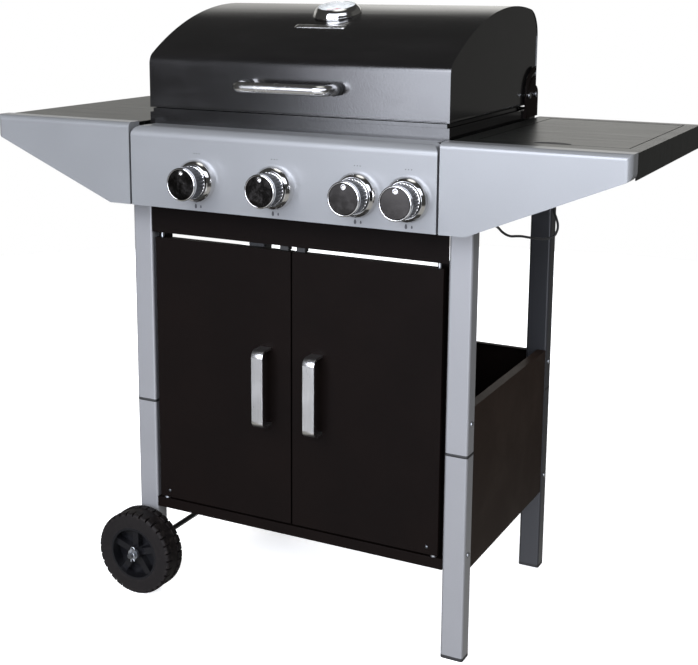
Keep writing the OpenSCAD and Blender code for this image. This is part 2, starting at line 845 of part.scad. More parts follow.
// A thin base edge and a bun-shaped ring that curves in to the glass
module thermometer_profile() {
    r = thermo_d / 2;
    edge = 1.2;
    square([r, 2]);
    square([r - edge - thermo_h, thermo_h]);
    intersection() {
        translate([r - edge - thermo_h, 0]) circle(thermo_h);
        square([r, thermo_h]);
    }
}

module thermometer_case() {
    wall = 4;
    color("gainsboro") difference() {
        at_thermometer() {
            difference() {
                union() {
                    translate([0, 0, -3]) cylinder(r = thermo_d / 2 - 3, h = 6);
                    rotate_extrude() thermometer_profile();
                }
                translate([0, 0, dial_z]) cylinder(r = glass_r, h = glass_z + glass_t - dial_z);
                cylinder(r = glass_r - glass_lip, h = thermo_h + 1);
            }
            translate([0, 0, -42]) cylinder(r = 3, h = 48);
            translate([0, 0, -2]) cylinder(r = glass_r + wall, h = dial_z + 2);
            translate([0, 0, -lid_t - 5]) cylinder(r = 9, h = 4);
        }
        difference() {
            prism_x(-thermo_d, thermo_d) difference() {
                lid_outline();
                lid_outline(lid_t);
            }
            at_thermometer() cylinder(r = 3.5, h = 60, center = true);
        }
    }
}

// Domed glass held under the ring's lip
module thermometer_glass() {
    lip_r = glass_r - glass_lip;
    rise = 5;
    dome_r = (pow(lip_r, 2) + pow(rise, 2)) / (2 * rise);
    color([0.8, 0.9, 1, 0.4]) at_thermometer() difference() {
        union() {
            translate([0, 0, glass_z]) cylinder(r = glass_r, h = glass_t);
            translate([0, 0, glass_z]) intersection() {
                cylinder(r = lip_r, h = rise + 4);
                translate([0, 0, rise + glass_t - dome_r]) sphere(r = dome_r, $fn = 128);
            }
        }
        translate([0, 0, glass_z - 1]) intersection() {
            cylinder(r = lip_r - 1.5, h = rise + 4);
            translate([0, 0, rise + 1 - dome_r]) sphere(r = dome_r, $fn = 128);
        }
    }
}

// Plates outside the lid's ends, with the pivot bore and the curved slot for the stop pin
module lid_hinge_brackets() {
    r = slot_r + 13;
    foot_z = deck_z + 2;
    slot_w = 2 * pin_r + 2;
    color([0.16, 0.16, 0.16]) both_sides() {
        prism_x(bracket_x, bracket_x + bracket_t) difference() {
            union() {
                intersection() {
                    translate([hinge_y, hinge_z]) circle(r);
                    translate([hinge_y - r, hinge_z]) square([r, r]);
                }
                translate([hinge_y - r, foot_z]) square([r + hinge_in, hinge_z - foot_z]);
                translate([hinge_y, hinge_z]) circle(hinge_in);
            }
            translate([hinge_y, hinge_z]) {
                circle(pin_r + fit);
                intersection() {
                    difference() {
                        circle(slot_r + slot_w / 2);
                        circle(slot_r - slot_w / 2);
                    }
                    translate([-r, 0]) square([r, r]);
                }
                translate([-slot_r, 0]) circle(slot_w / 2);
                translate([0, slot_r]) circle(slot_w / 2);
            }
        }
        span([box_x, hinge_y - r, foot_z], [bracket_x, box_y1, box_z1 - 2]);
    }
}

// Two pivot screws and two stop pins, with heads outside the brackets
module lid_hinge_screws() {
    inner = box_x - end_inset - sheet;
    outer = bracket_x + bracket_t + clear;
    color("silver") both_sides() for (y = [hinge_y, hinge_y - slot_r]) {
        rod_x(y, hinge_z, pin_r, inner - 4, outer);
        rod_x(y, hinge_z, pin_r * 2, outer, outer + 3);
        rod_x(y, hinge_z, pin_r * 2, inner - 4, inner);
    }
}

// ---- side shelves ----

// A shelf front's outline in X and Z, inset by d: full depth near the panel, then sloping up
module front_outline(d) {
    a = atan2(slope_z1 - panel_z0, shelf_x1 - 7 - slope_x0);
    r = front_corner_r;
    // centre of the round corner, r from the end face and r above the slope
    cx = shelf_x1 - r;
    cz = panel_z0 + (cx - slope_x0) * tan(a) + r / cos(a);
    rc = r - d;
    kink_x = slope_x0 - d * tan(a / 2);
    polygon([
        [shelf_x0 + d, panel_z0 + d], [kink_x, panel_z0 + d], [cx + rc * sin(a), cz - rc * cos(a)],
        [cx, cz], [cx + rc, cz], [shelf_x1 - d, shelf_z - d], [shelf_x0 + d, shelf_z - d]
    ]);
    translate([cx, cz]) circle(rc);
}

// A shelf front's plan in X and Y, inset by d, with the round upright edge at its outer end
module front_plan(d) {
    r = front_end_r - d;
    depth = fold_d + (d > 0 ? 1 : 0);
    x1 = shelf_x1 - d;
    translate([shelf_x0, face_y + front_end_r]) square([x1 - shelf_x0, depth - front_end_r]);
    translate([shelf_x0, face_y + d]) square([x1 - r - shelf_x0, depth - d]);
    translate([x1 - r, face_y + front_end_r]) circle(r);
}

module shelf_front_solid(d) {
    intersection() {
        prism_y(face_y, face_y + fold_d + 1) front_outline(d);
        prism_x(shelf_x0, shelf_x1) edge_profile(shelf_z, front_edge_r, d);
        linear_extrude(shelf_z + 1) front_plan(d);
    }
}

module shelf_front() {
    color([0.77, 0.78, 0.81]) difference() {
        shelf_front_solid(0);
        shelf_front_solid(sheet);
    }
}

// Deck with folded end and rear edges and two channels that rest on the leg tops
module shelf_deck() {
    z = deck_z - sheet;
    skirt_z = deck_z - skirt_h;
    span([shelf_x0 + sheet, deck_y0, z], [deck_x1, deck_y1, deck_z]);
    span([deck_x1 - sheet, face_y + fold_d, skirt_z], [deck_x1, deck_y1, deck_z]);
    span([hw + 2, deck_y1 - sheet, skirt_z], [deck_x1, deck_y1, deck_z]);
    for (y = [-8, deck_y1 - 22]) prism_x(shelf_x0 + sheet, deck_x1 - sheet) difference() {
        translate([y, leg_top]) square([20, channel_h]);
        translate([y + sheet, leg_top + sheet]) square([20 - 2 * sheet, channel_h - sheet]);
    }
}

module shelf_left() {
    color([0.45, 0.44, 0.42]) mirror([1, 0, 0]) shelf_deck();
}

// The right deck has a stepped opening for the side burner
module shelf_right() {
    color([0.3, 0.3, 0.29]) difference() {
        union() {
            shelf_deck();
            span([well_x - sheet, well_y - sheet, ledge_z - sheet], [well_x1 + sheet, well_y1 + sheet, deck_z]);
        }
        span([well_x, well_y, ledge_z], [well_x1, well_y1, deck_z + 1]);
        span([well_x + ledge_w, well_y + ledge_w, ledge_z - 2 * sheet],
             [well_x1 - ledge_w, well_y1 - ledge_w, deck_z]);
        rod_x(flap_hinge_y, flap_hinge_z, flap_pin_r + fit, well_x - 5, well_x1 + 5);
    }
}

// ---- side burner ----

module side_burner_lid() {
    x0 = well_x + seam;
    x1 = well_x1 - seam;
    y0 = well_y + seam;
    y1 = well_y1 - flap_rear_gap;
    notch_r = (pow(notch_w / 2, 2) + pow(notch_d, 2)) / (2 * notch_d);
    color([0.25, 0.25, 0.24]) difference() {
        union() {
            difference() {
                span([x0, y0, deck_z - flap_skirt], [x1, y1, deck_z]);
                span([x0 + sheet, y0 + sheet, deck_z - flap_skirt - 1], [x1 - sheet, y1 - sheet, deck_z - sheet]);
            }
            rod_x(flap_hinge_y, flap_hinge_z, flap_pin_r, well_x - sheet, x0 + 8);
            rod_x(flap_hinge_y, flap_hinge_z, flap_pin_r, x1 - 8, well_x1 + sheet);
        }
        translate([burner_x, y0 + notch_d - notch_r, deck_z - flap_skirt - 1]) cylinder(r = notch_r, h = 20);
    }
}

module side_burner_bowl() {
    w = well_w - 2;
    d = well_d - 2;
    x0 = well_x + ledge_w + 1;
    y0 = well_y + ledge_w + 1;
    x1 = well_x1 - ledge_w - 1;
    y1 = well_y1 - ledge_w - 1;
    color("silver") difference() {
        union() {
            span([well_x + 1, well_y + 1, ledge_z], [well_x + 1 + w, well_y + 1 + d, ledge_z + sheet]);
            span([x0, y0, bowl_z0], [x1, y1, ledge_z + sheet]);
        }
        span([x0 + sheet, y0 + sheet, bowl_z0 + sheet], [x1 - sheet, y1 - sheet, ledge_z + 5]);
        translate([burner_x, burner_y, bowl_z0 - 1]) cylinder(r = 27, h = 5);
        translate([electrode_x, electrode_y, bowl_z0 - 1]) cylinder(r = 4, h = 5);
    }
}

// Burner head on its venturi, with the electrode and its boot beside it
module side_burner_head() {
    ports = 24;
    cap_r = 44;
    color("goldenrod") difference() {
        translate([burner_x, burner_y, 0]) {
            translate([0, 0, bowl_z0 - 25]) cylinder(r = 12, h = 25);
            translate([0, 0, bowl_z0 - 8]) cylinder(r = 27, h = 8 + sheet + 2);
            translate([0, 0, bowl_z0 + sheet + 2]) cylinder(r = cap_r, h = 10);
            translate([0, 0, bowl_z0 + sheet + 12]) cylinder(r1 = cap_r, r2 = cap_r - 8, h = 4);
        }
        translate([burner_x, burner_y, bowl_z0 + sheet + 7]) for (a = [0 : 360 / ports : 359])
            rotate(a) translate([cap_r - 6, -1.2, 0]) cube([10, 2.4, 3]);
    }
    color("white") translate([electrode_x, electrode_y, bowl_z0 - 14]) {
        cylinder(r = 4, h = 34);
        cylinder(r = 1.2, h = 42);
    }
    color("black") translate([electrode_x, electrode_y, lead_points[len(lead_points) - 1][2]])
        cylinder(r = 5, h = bowl_z0 - 14 - lead_points[len(lead_points) - 1][2]);
}

// Pan support: a ring on four arms that rest on the bowl's flange
module side_burner_grate() {
    z = ledge_z - 10;
    bar = 5;
    arm_x = well_w / 2 - ledge_w - 3;
    color([0.15, 0.15, 0.15]) translate([burner_x, burner_y, z]) {
        difference() {
            cylinder(r = 60, h = 6);
            translate([0, 0, -1]) cylinder(r = 54, h = 8);
        }
        for (a = [0, 90, 180, 270]) rotate(a) translate([24, -bar / 2, 0]) cube([arm_x - 24, bar, 9]);
        for (s = [-1, 1]) translate([-bar / 2 + s * (arm_x - bar / 2), -110, 0]) cube([bar, 220, 6]);
    }
}

// ---- wheels ----

// Everything on a wheel is drawn with its inner face at y = 0 and its outer face at y = -wheel_w
module tyre_ring(r0, r1, y0, y1, blocks, turn) {
    groove = 3.4;
    rotate([90, 0, 0]) translate([0, 0, -y1]) linear_extrude(y1 - y0) difference() {
        circle(r1, $fn = 128);
        circle(r0);
        if (blocks > 0) for (i = [0 : blocks - 1])
            rotate((i + turn) * 360 / blocks) translate([r1 - 5, -groove / 2]) square([8, groove]);
    }
}

module wheel_tyre() {
    r = wheel_d / 2;
    band = wheel_w * 0.3;
    shoulder = 5;
    color([0.08, 0.08, 0.08]) intersection() {
        union() {
            tyre_ring(rim_r, r, -wheel_w, -wheel_w + band, tread_blocks, 0);
            tyre_ring(rim_r, r - 2, -wheel_w + band, -band, 0, 0);
            tyre_ring(rim_r, r, -band, 0, tread_blocks, 0.5);
        }
        rotate([90, 0, 0]) rotate_extrude($fn = 128) {
            square([r - shoulder, wheel_w]);
            translate([0, shoulder]) square([r, wheel_w - 2 * shoulder]);
            for (y = [shoulder, wheel_w - shoulder]) translate([r - shoulder, y]) circle(shoulder);
        }
    }
}

module wheel_rim() {
    hub_r = 13;
    barrel = 4;
    dish = 8;
    disc_y = -wheel_w / 2;
    color([0.1, 0.1, 0.1]) difference() {
        rotate([90, 0, 0]) union() {
            linear_extrude(wheel_w) difference() {
                circle(rim_r);
                circle(rim_r - barrel);
            }
            cylinder(r = hub_r, h = wheel_w);
            translate([0, 0, -disc_y - 3]) cylinder(r = rim_r - 1, h = 6);
            for (i = [0 : spokes - 1]) rotate(90 + i * 360 / spokes)
                translate([hub_r - 2, -6, -disc_y]) cube([rim_r - hub_r, 12, wheel_w / 2 - dish]);
        }
        rod_y(0, 0, axle_r + fit, -wheel_w - 1, 1);
    }
}

module at_front_wheel() translate([axle_x, wheel_y + wheel_gap, axle_z]) children();

module at_rear_wheel() {
    translate([axle_x, stand_d - wheel_y - wheel_gap, axle_z]) rotate(180) children();
}

module wheel_axle() {
    color("dimgray") difference() {
        rod_y(axle_x, axle_z, axle_r, wheel_y - wheel_w - axle_end, y_back);
        for (y = clip_ys) translate([axle_x, y, axle_z - 10]) cylinder(r = 1.1, h = 20);
    }
}
clip_ys = [wheel_y - wheel_w - 7, y_back - 5];

// Inner and outer washers, and a spring clip through each end of the axle
module axle_clips() {
    color("silver") {
        for (y = [-washer_t, stand_d]) washer(y, washer_t, axle_r + 6);
        for (y = [wheel_y - wheel_w - 2, y_back - axle_end]) washer(y, 2, axle_r + 5);
        for (y = clip_ys) translate([axle_x, y, axle_z]) spring_clip();
    }
}

module washer(y, t, r) difference() {
    rod_y(axle_x, axle_z, r, y, y + t);
    rod_y(axle_x, axle_z, axle_r, y - 1, y + t + 1);
}

// A round wire between two points in X and Z
module wire(a, b, r) {
    d = b - a;
    translate([a[0], 0, a[1]]) rotate([0, atan2(d[0], d[1]), 0]) cylinder(r = r, h = norm(d));
    translate([b[0], 0, b[1]]) sphere(r = r);
}

// A straight leg through the axle, a loop at the top and a second leg that snaps round the axle
module spring_clip() {
    r = 1.1;
    loop_r = 4;
    top = 13;
    snap_r = axle_r + r + clear;
    a = 48;
    snap = snap_r * [cos(a), sin(a)];
    wire([0, -12], [0, top], r);
    translate([loop_r, 0, top]) rotate([90, 0, 0]) rotate_extrude(angle = 180) translate([loop_r, 0]) circle(r);
    wire([2 * loop_r, top], snap, r);
    rotate([90, 0, 0]) rotate(-a) rotate_extrude(angle = 2 * a) translate([snap_r, 0]) circle(r);
    wire([snap[0] + 3, -snap[1] - 5], [snap[0], -snap[1]], r);
}

// ---- ignition lead ----

// Catmull-Rom curve through the route's points
function route_point(p, i, t) = let (
    n = len(p) - 1,
    a = p[max(i - 1, 0)], b = p[i], c = p[min(i + 1, n)], d = p[min(i + 2, n)]
) 0.5 * (2 * b + (c - a) * t + (2 * a - 5 * b + 4 * c - d) * t * t + (3 * b - a - 3 * c + d) * t * t * t);

function route(p, steps) = concat(
    [for (i = [0 : len(p) - 2], k = [0 : steps - 1]) route_point(p, i, k / steps)],
    [p[len(p) - 1]]
);

function unit(v) = v / norm(v);

function ring(c, dir, r, n) = let (
    u = unit(cross([0, 1, 0], dir)),
    v = unit(cross(dir, u))
) [for (k = [0 : n - 1]) c + r * (cos(360 * k / n) * u + sin(360 * k / n) * v)];

module tube_along(p, d, n) {
    last = len(p) - 1;
    points = [for (i = [0 : last]) each ring(p[i], p[min(i + 1, last)] - p[max(i - 1, 0)], d / 2, n)];
    sides = [for (i = [0 : last - 1], k = [0 : n - 1])
        [i * n + k, (i + 1) * n + k, (i + 1) * n + (k + 1) % n, i * n + (k + 1) % n]];
    first_cap = [for (k = [0 : n - 1]) k];
    last_cap = [for (k = [n - 1 : -1 : 0]) last * n + k];
    polyhedron(points, concat(sides, [first_cap, last_cap]));
}

module ignition_lead() {
    color([0.05, 0.05, 0.05]) tube_along(route(lead_points, lead_steps), lead_d, lead_sides);
}

// ---- nodes ----

place() leg(-1, 0);  // leg_front_left
place() leg(1, 0);  // leg_front_right
place() leg(-1, rear_y);  // leg_rear_left
place() leg(1, rear_y);  // leg_rear_right
place() leg_collars();
place() foot_caps();
place() side_panel(-1);  // side_panel_left
place() side_panel(1);  // side_panel_right
place() back_panel();
place() base_tray();
place() header_panel();
place() rear_cross_rail();
place() door(-1);  // door_left
place() door(1);  // door_right
place() door_handle(-1);  // door_handle_left
place() door_handle(1);  // door_handle_right
place() door_hinge_pins();
place() door_catches();
place() control_panel();
place() knob_bezels();
place() knob(0);  // knob_1
place() knob(1);  // knob_2
place() knob(2);  // knob_3
place() knob(3);  // knob_4
place() valve_stem(0);  // valve_stem_1
place() valve_stem(1);  // valve_stem_2
place() valve_stem(2);  // valve_stem_3
place() valve_stem(3);  // valve_stem_4
place() gas_valves();
place() gas_manifold();
place() firebox();
place() burner_tubes();
place() flame_tamers();
place() cooking_grates();
place() warming_rack();
place() drip_tray();
place() drip_tray_runners();
place() lid_shell();
place() lid_ends();
place() lid_handle();
place() lid_handle_standoffs();
place() thermometer_case();
place() thermometer_glass();
place() lid_hinge_brackets();
place() lid_hinge_screws();
place() shelf_left();
place() mirror([1, 0, 0]) shelf_front();  // shelf_left_front
place() shelf_right();
place() shelf_front();  // shelf_right_front
place() side_burner_lid();
place() side_burner_bowl();
place() side_burner_head();
place() side_burner_grate();
place() at_front_wheel() wheel_rim();  // front_wheel_rim
place() at_front_wheel() wheel_tyre();  // front_wheel_tyre
place() at_rear_wheel() wheel_rim();  // rear_wheel_rim
place() at_rear_wheel() wheel_tyre();  // rear_wheel_tyre
place() wheel_axle();
place() axle_clips();
place() ignition_lead();
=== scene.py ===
"""Gas barbecue grill: finishes, small parts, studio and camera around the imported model."""

import math

import bmesh
import bpy
import numpy as np
from mathutils import Matrix, Vector


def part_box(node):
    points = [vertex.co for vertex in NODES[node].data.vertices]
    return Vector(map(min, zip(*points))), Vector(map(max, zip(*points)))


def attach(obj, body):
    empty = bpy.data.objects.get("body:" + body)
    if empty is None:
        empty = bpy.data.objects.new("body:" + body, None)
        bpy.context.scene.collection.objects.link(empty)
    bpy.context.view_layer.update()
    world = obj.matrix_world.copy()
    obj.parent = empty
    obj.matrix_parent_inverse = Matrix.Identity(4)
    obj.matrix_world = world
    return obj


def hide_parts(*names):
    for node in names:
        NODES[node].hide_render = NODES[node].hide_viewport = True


bl_info = {
    "name": "Gas barbecue grill",
    "version": (1, 0, 0),
    "blender": (4, 5, 0),
    "location": "View3D > Sidebar > Grill",
    "description": "Finishes, small parts, studio and camera for a two-door gas barbecue grill",
    "category": "Object",
}

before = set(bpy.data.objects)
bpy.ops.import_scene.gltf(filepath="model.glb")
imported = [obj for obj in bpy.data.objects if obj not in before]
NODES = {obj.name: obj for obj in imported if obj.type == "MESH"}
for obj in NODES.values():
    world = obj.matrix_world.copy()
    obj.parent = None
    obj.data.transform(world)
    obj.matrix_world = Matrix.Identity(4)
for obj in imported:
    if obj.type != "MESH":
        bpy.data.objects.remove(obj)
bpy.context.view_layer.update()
MM = 0.001


# ---- properties ----

def colour(name, description, default):
    """A colour property without alpha."""
    return bpy.props.FloatVectorProperty(
        name=name, description=description, default=default, size=3, min=0, max=1, subtype="COLOR"
    )


def length(name, description, default_mm):
    """A length property, given in millimetres."""
    return bpy.props.FloatProperty(
        name=name, description=description, default=default_mm * MM, unit="LENGTH", subtype="DISTANCE"
    )


def angle(name, description, default_deg):
    """An angle property, given in degrees."""
    return bpy.props.FloatProperty(
        name=name, description=description, default=math.radians(default_deg), subtype="ANGLE"
    )


def amount(name, description, default, top=10.0):
    """A plain number from zero up."""
    return bpy.props.FloatProperty(name=name, description=description, default=default, min=0, max=top)


class GrillColours(bpy.types.PropertyGroup):
    """Colours of the grill's finishes."""

    silver: colour("Silver paint", "Paint of the control panel and shelf fronts", (0.236, 0.242, 0.248))
    legs: colour("Leg paint", "Metallic paint of the leg tubes", (0.255, 0.256, 0.262))
    # Painted shade: the rear legs have the same silver paint as the front legs, drawn darker for the shade
    # they stand in.
    rear_legs_painted_shade: colour("Rear leg painted shade", "Darker paint of the rear leg tubes", (0.040, 0.041, 0.045))
    powder: colour("Powder coat", "Matte coat of the doors and panels", (0.0040, 0.0026, 0.0022))
    side_coat: colour("Side panel coat", "Brown-black coat of the side panels", (0.0175, 0.0110, 0.0080))
    enamel: colour("Enamel", "Semi-gloss enamel of the lid and the firebox", (0.0045, 0.0042, 0.0042))
    shelf: colour("Shelf coat", "Satin coat of the side shelves", (0.0075, 0.0080, 0.0072))
    chrome: colour("Chrome", "Bright plating", (0.86, 0.85, 0.84))
    # Painted reflection: the knob face's dark colour stands in for the dark reflection that the mirror face
    # shows.
    knob_face_painted_reflection: colour("Dark chrome", "Smoky plating of a knob's face", (0.045, 0.042, 0.040))
    flutes: colour("Knob flutes", "Grip band of a knob", (0.085, 0.085, 0.087))
    bar: colour("Handle bar", "Brushed bar of a door handle", (0.74, 0.73, 0.71))
    steel: colour("Stainless steel", "Burner tubes, flame tamers and side burner bowl", (0.56, 0.55, 0.53))
    zinc: colour("Zinc plate", "Pins, screws, pipes and clips", (0.56, 0.57, 0.60))
    brass: colour("Brass", "Gas valves and the burner head", (0.66, 0.47, 0.20))
    iron: colour("Cast iron", "Cooking grates and the pan support", (0.028, 0.027, 0.028))
    plastic: colour("Black plastic", "Collars, caps and standoffs", (0.016, 0.016, 0.016))
    rubber: colour("Tyre", "Moulded tyre", (0.0052, 0.0040, 0.0038))
    rim: colour("Wheel rim", "Glossy moulded rim", (0.006, 0.006, 0.007))
    print_ink: colour("Panel print", "Printed marks on the control panel", (0.05, 0.05, 0.055))


class GrillTrim(bpy.types.PropertyGroup):
    """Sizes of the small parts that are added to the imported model."""

    lead_d: length("Lead diameter", "Outside diameter of the ignition lead", 4.0)
    badge_w: length("Badge width", "Width of the plain badge on the lid", 97.0)
    badge_d: length("Badge depth", "Depth of the plain badge along the lid", 13.0)
    badge_t: length("Badge thickness", "How far the badge stands off the lid", 1.2)
    hem_r: length("Lid hem radius", "Radius of the rolled edge along the lid's foot", 1.9)
    screw_r: length("Screw head radius", "Radius of a frame screw's head", 4.6)
    screw_h: length("Screw head height", "Height of a frame screw's head", 2.4)
    rivet_r: length("Rivet radius", "Radius of a door rivet's head", 3.2)
    mark_t: length("Print thickness", "Thickness of the printed marks", 0.12)
    edge_r: length("Edge radius", "Bevel on the folded sheet edges", 0.5)


class GrillStudio(bpy.types.PropertyGroup):
    """Camera and studio light."""

    eye: bpy.props.FloatVectorProperty(
        name="Camera place", description="Where the camera stands", default=(1.02167, -2.03211, 1.11052),
        size=3, unit="LENGTH", subtype="TRANSLATION",
    )
    yaw: angle("Camera yaw", "Turn to the left of the +Y direction", 27.57)
    pitch: angle("Camera pitch", "Tilt above the horizon", -11.09)
    roll: angle("Camera roll", "Turn about the line of sight", 0.24)
    lens: bpy.props.FloatProperty(
        name="Focal length", description="Focal length on a 36 mm wide sensor", default=65.66, min=1,
        subtype="DISTANCE_CAMERA",
    )
    shift_x: bpy.props.FloatProperty(name="Shift X", description="Sideways shift", default=0.0354)
    shift_y: bpy.props.FloatProperty(name="Shift Y", description="Upward shift", default=-0.1397)
    floor_r: length("Floor radius", "Radius of the pale floor", 3200.0)
    backdrop: amount("Backdrop", "Brightness of the background", 1.0)
    ambient: amount("Ambient", "Soft light from all round", 0.045)
    front_card: amount("Front card", "Strength of the large card in front", 5.8)
    strip_card: amount("Strip card", "Strength of the strip above the front card", 3.0)
    low_card: amount("Low card", "Strength of the low card in front", 0.55)
    back_card: amount("Back card", "Strength of the low card behind", 0.52)
    rear_card: amount("Rear card", "Strength of the card straight behind", 0.33)
    side_card: amount("Side card", "Strength of the card at the right", 0.04)
    roof_card: amount("Roof card", "Strength of the card overhead", 1.3)
    ring_card: amount("Ring card", "Strength of the low ring all round", 0.30)
    key_power: amount("Key power", "Power of the key light in watts", 60.0, 1000)
    fill_power: amount("Fill power", "Power of the fill light in watts", 34.0, 1000)
    rear_power: amount("Rear power", "Power of the light behind in watts", 60.0, 1000)
    floor_glow: amount("Floor glow", "Light that the floor gives off towards the camera", 0.62)


# ---- shader building ----

class Num:
    """A number that varies over a surface. Arithmetic on it adds Math nodes."""

    def __init__(self, finish, socket):
        self.finish = finish
        self.socket = socket

    def math(self, operation, first, second):
        node = self.finish.add("Math", {"operation": operation}, {0: first, 1: second})
        return Num(self.finish, node.outputs[0])

    def __add__(self, other):
        return self.math("ADD", self, other)

    __radd__ = __add__

    def __sub__(self, other):
        return self.math("SUBTRACT", self, other)

    def __rsub__(self, other):
        return self.math("SUBTRACT", other, self)

    def __mul__(self, other):
        return self.math("MULTIPLY", self, other)

    __rmul__ = __mul__

    def __pow__(self, other):
        return self.math("POWER", self, other)

    def __gt__(self, other):
        return self.math("GREATER_THAN", self, other)

    def __lt__(self, other):
        return self.math("LESS_THAN", self, other)

    def ease(self, low, high):
        """0 below low, 1 above high and a smooth step between."""
        node = self.finish.add(
            "MapRange", {"interpolation_type": "SMOOTHSTEP", "clamp": True},
            {"Value": self, "From Min": low, "From Max": high},
        )
        return Num(self.finish, node.outputs["Result"])


class Finish:
    """A node tree with one method that adds any node, and the sockets of its shader."""

    def __init__(self, tree, to=None):
        self.tree = tree
        self.to = to

    def colour(self, value):
        self.feed(self.to["Base Color"], value)

    def rough(self, value):
        self.feed(self.to["Roughness"], value)

    def normal(self, value):
        self.feed(self.to["Normal"], value)

    def add(self, kind, settings, inputs):
        """Adds a node: its settings are set first, then each socket's value or link."""
        node = self.tree.nodes.new("ShaderNode" + kind)
        for key, value in settings.items():
            setattr(node, key, value)
        for key, value in inputs.items():
            self.feed(node.inputs[key], value)
        return node

    def feed(self, socket, value):
        if isinstance(value, Num):
            value = value.socket
        if isinstance(value, bpy.types.NodeSocket):
            self.tree.links.new(value, socket)
        else:
            socket.default_value = value

    def spot(self):
        """The place on the object, in metres, before any joint moves it."""
        return self.add("TexCoord", {}, {}).outputs["Object"]

    def axes(self, vector):
        """X, Y and Z of a vector as numbers."""
        node = self.add("SeparateXYZ", {}, {"Vector": vector})
        return [Num(self, out) for out in node.outputs]

    def noise(self, scale, detail=2.0, rough=0.5, along=None):
        """Soft noise from 0 to 1, scale to the metre. along scales each axis, for grain along one of them."""
        spot = self.spot()
        if along:
            spot = self.add("VectorMath", {"operation": "MULTIPLY"}, {0: spot, 1: along}).outputs["Vector"]
        inputs = {"Vector": spot, "Scale": scale, "Detail": detail, "Roughness": rough}
        return Num(self, self.add("TexNoise", {}, inputs).outputs["Fac"])

    def flecks(self, scale):
        """Random grey value for each small cell."""
        node = self.add("TexVoronoi", {}, {"Vector": self.spot(), "Scale": scale})
        return self.axes(node.outputs["Color"])[0]

    def mix(self, factor, first, second):
        """Blends two colours."""
        settings = {"data_type": "RGBA"}
        inputs = {0: factor, 6: solid(first), 7: solid(second)}
        return self.add("Mix", settings, inputs).outputs[2]

    def bump(self, height, distance, strength=1.0, under=None):
        """A normal from a height that varies from 0 to 1 over the given distance in metres."""
        inputs = {"Height": height, "Distance": distance, "Strength": strength}
        if under is not None:
            inputs["Normal"] = under
        return self.add("Bump", {}, inputs).outputs["Normal"]


def solid(value):
    """A colour with alpha, or a link as it is."""
    if isinstance(value, bpy.types.NodeSocket):
        return value
    return (*value, 1.0)


def scaled(rgb, factor):
    """A colour made lighter or darker."""
    return tuple(min(1.0, c * factor) for c in rgb)


def surface(name, constants):
    """A new material with its constants set on the Principled shader."""
    material = bpy.data.materials.new(name)
    material.use_nodes = True
    shader = material.node_tree.nodes["Principled BSDF"]
    for socket, value in constants.items():
        shader.inputs[socket].default_value = value
    return material, Finish(material.node_tree, shader.inputs)


# ---- finishes ----

def metallic_paint(name, rgb, rough):
    """Silver paint: fine metal flecks under a clear coat, with a faint orange peel."""
    material, f = surface(name, {"Metallic": 0.42, "Coat Weight": 0.35, "Coat Roughness": 0.16})
    fleck = f.flecks(2600)
    cloud = f.noise(5, 3)
    shade = 0.35 * fleck + 0.65 * cloud
    f.colour(f.mix(shade, scaled(rgb, 0.93), scaled(rgb, 1.07)))
    f.rough(rough + 0.10 * (f.noise(14, 4) - 0.5) + 0.06 * (fleck - 0.5))
    f.normal(f.bump(f.noise(420, 2), 0.00006))
    return material


def powder_coat(name, rgb, rough):
    """Powder coat: a fine pebbled skin, rubbed a little smoother in places."""
    material, f = surface(name, {"Specular IOR Level": 0.05})
    rub = f.noise(7, 4, 0.6).ease(0.35, 0.75)
    pebble = f.noise(1500, 2, 0.6)
    f.colour(f.mix(0.6 * rub + 0.4 * pebble, scaled(rgb, 0.82), scaled(rgb, 1.25)))
    f.rough(rough - 0.10 * rub + 0.10 * (pebble - 0.5))
    f.normal(f.bump(pebble, 0.00012))
    return material


def enamel(name, rgb, coat=0.5):
    """Baked enamel: deep and semi-gloss, with orange peel and faint wipe marks."""
    material, f = surface(name, {"Specular IOR Level": 1.0, "Coat Weight": coat, "Coat Roughness": 0.14})
    wipe = f.noise(9, 5, 0.65, along=(0.5, 1.6, 1.6)).ease(0.40, 0.75)
    peel = f.noise(260, 2, 0.5)
    f.colour(f.mix(wipe, rgb, scaled(rgb, 1.5)))
    f.rough(0.145 + 0.06 * wipe + 0.05 * (f.noise(900, 2) - 0.5))
    f.normal(f.bump(peel, 0.00005))
    return material


def shelf_coat(name, rgb):
    """Satin coat on the shelves: fine texture with faint marks from wiping along the shelf."""
    material, f = surface(name, {"Specular IOR Level": 0.34})
    wiped = f.noise(30, 4, 0.6, along=(0.25, 3, 1))
    fine = f.noise(1900, 2, 0.6)
    f.colour(f.mix(0.5 * wiped + 0.5 * fine, scaled(rgb, 0.85), scaled(rgb, 1.2)))
    f.rough(0.30 + 0.14 * (wiped - 0.5) + 0.08 * (fine - 0.5))
    f.normal(f.bump(fine, 0.00007))
    return material


def polished(name, rgb, rough=0.07):
    """Bright plating with finger smudges and a few hairlines."""
    material, f = surface(name, {"Metallic": 1.0})
    smudge = f.noise(38, 4, 0.6).ease(0.45, 0.75)
    hair = f.noise(700, 2, 0.5, along=(1, 0.08, 1)).ease(0.62, 0.75)
    f.colour(f.mix(smudge, rgb, scaled(rgb, 0.90)))
    f.rough(rough + 0.09 * smudge + 0.05 * hair)
    f.normal(f.bump(f.noise(60, 2), 0.00005))
    return material


def brushed(name, rgb, along, rough=0.30):
    """Metal brushed along one axis. along holds the squeeze of each axis, small for the brushed one."""
    material, f = surface(name, {"Metallic": 1.0})
    line = f.noise(1400, 3, 0.6, along=along)
    smudge = f.noise(22, 3, 0.6).ease(0.45, 0.8)
    f.colour(f.mix(line, scaled(rgb, 0.84), scaled(rgb, 1.10)))
    f.rough(rough + 0.14 * (line - 0.5) + 0.06 * smudge)
    f.normal(f.bump(line, 0.00004))
    return material


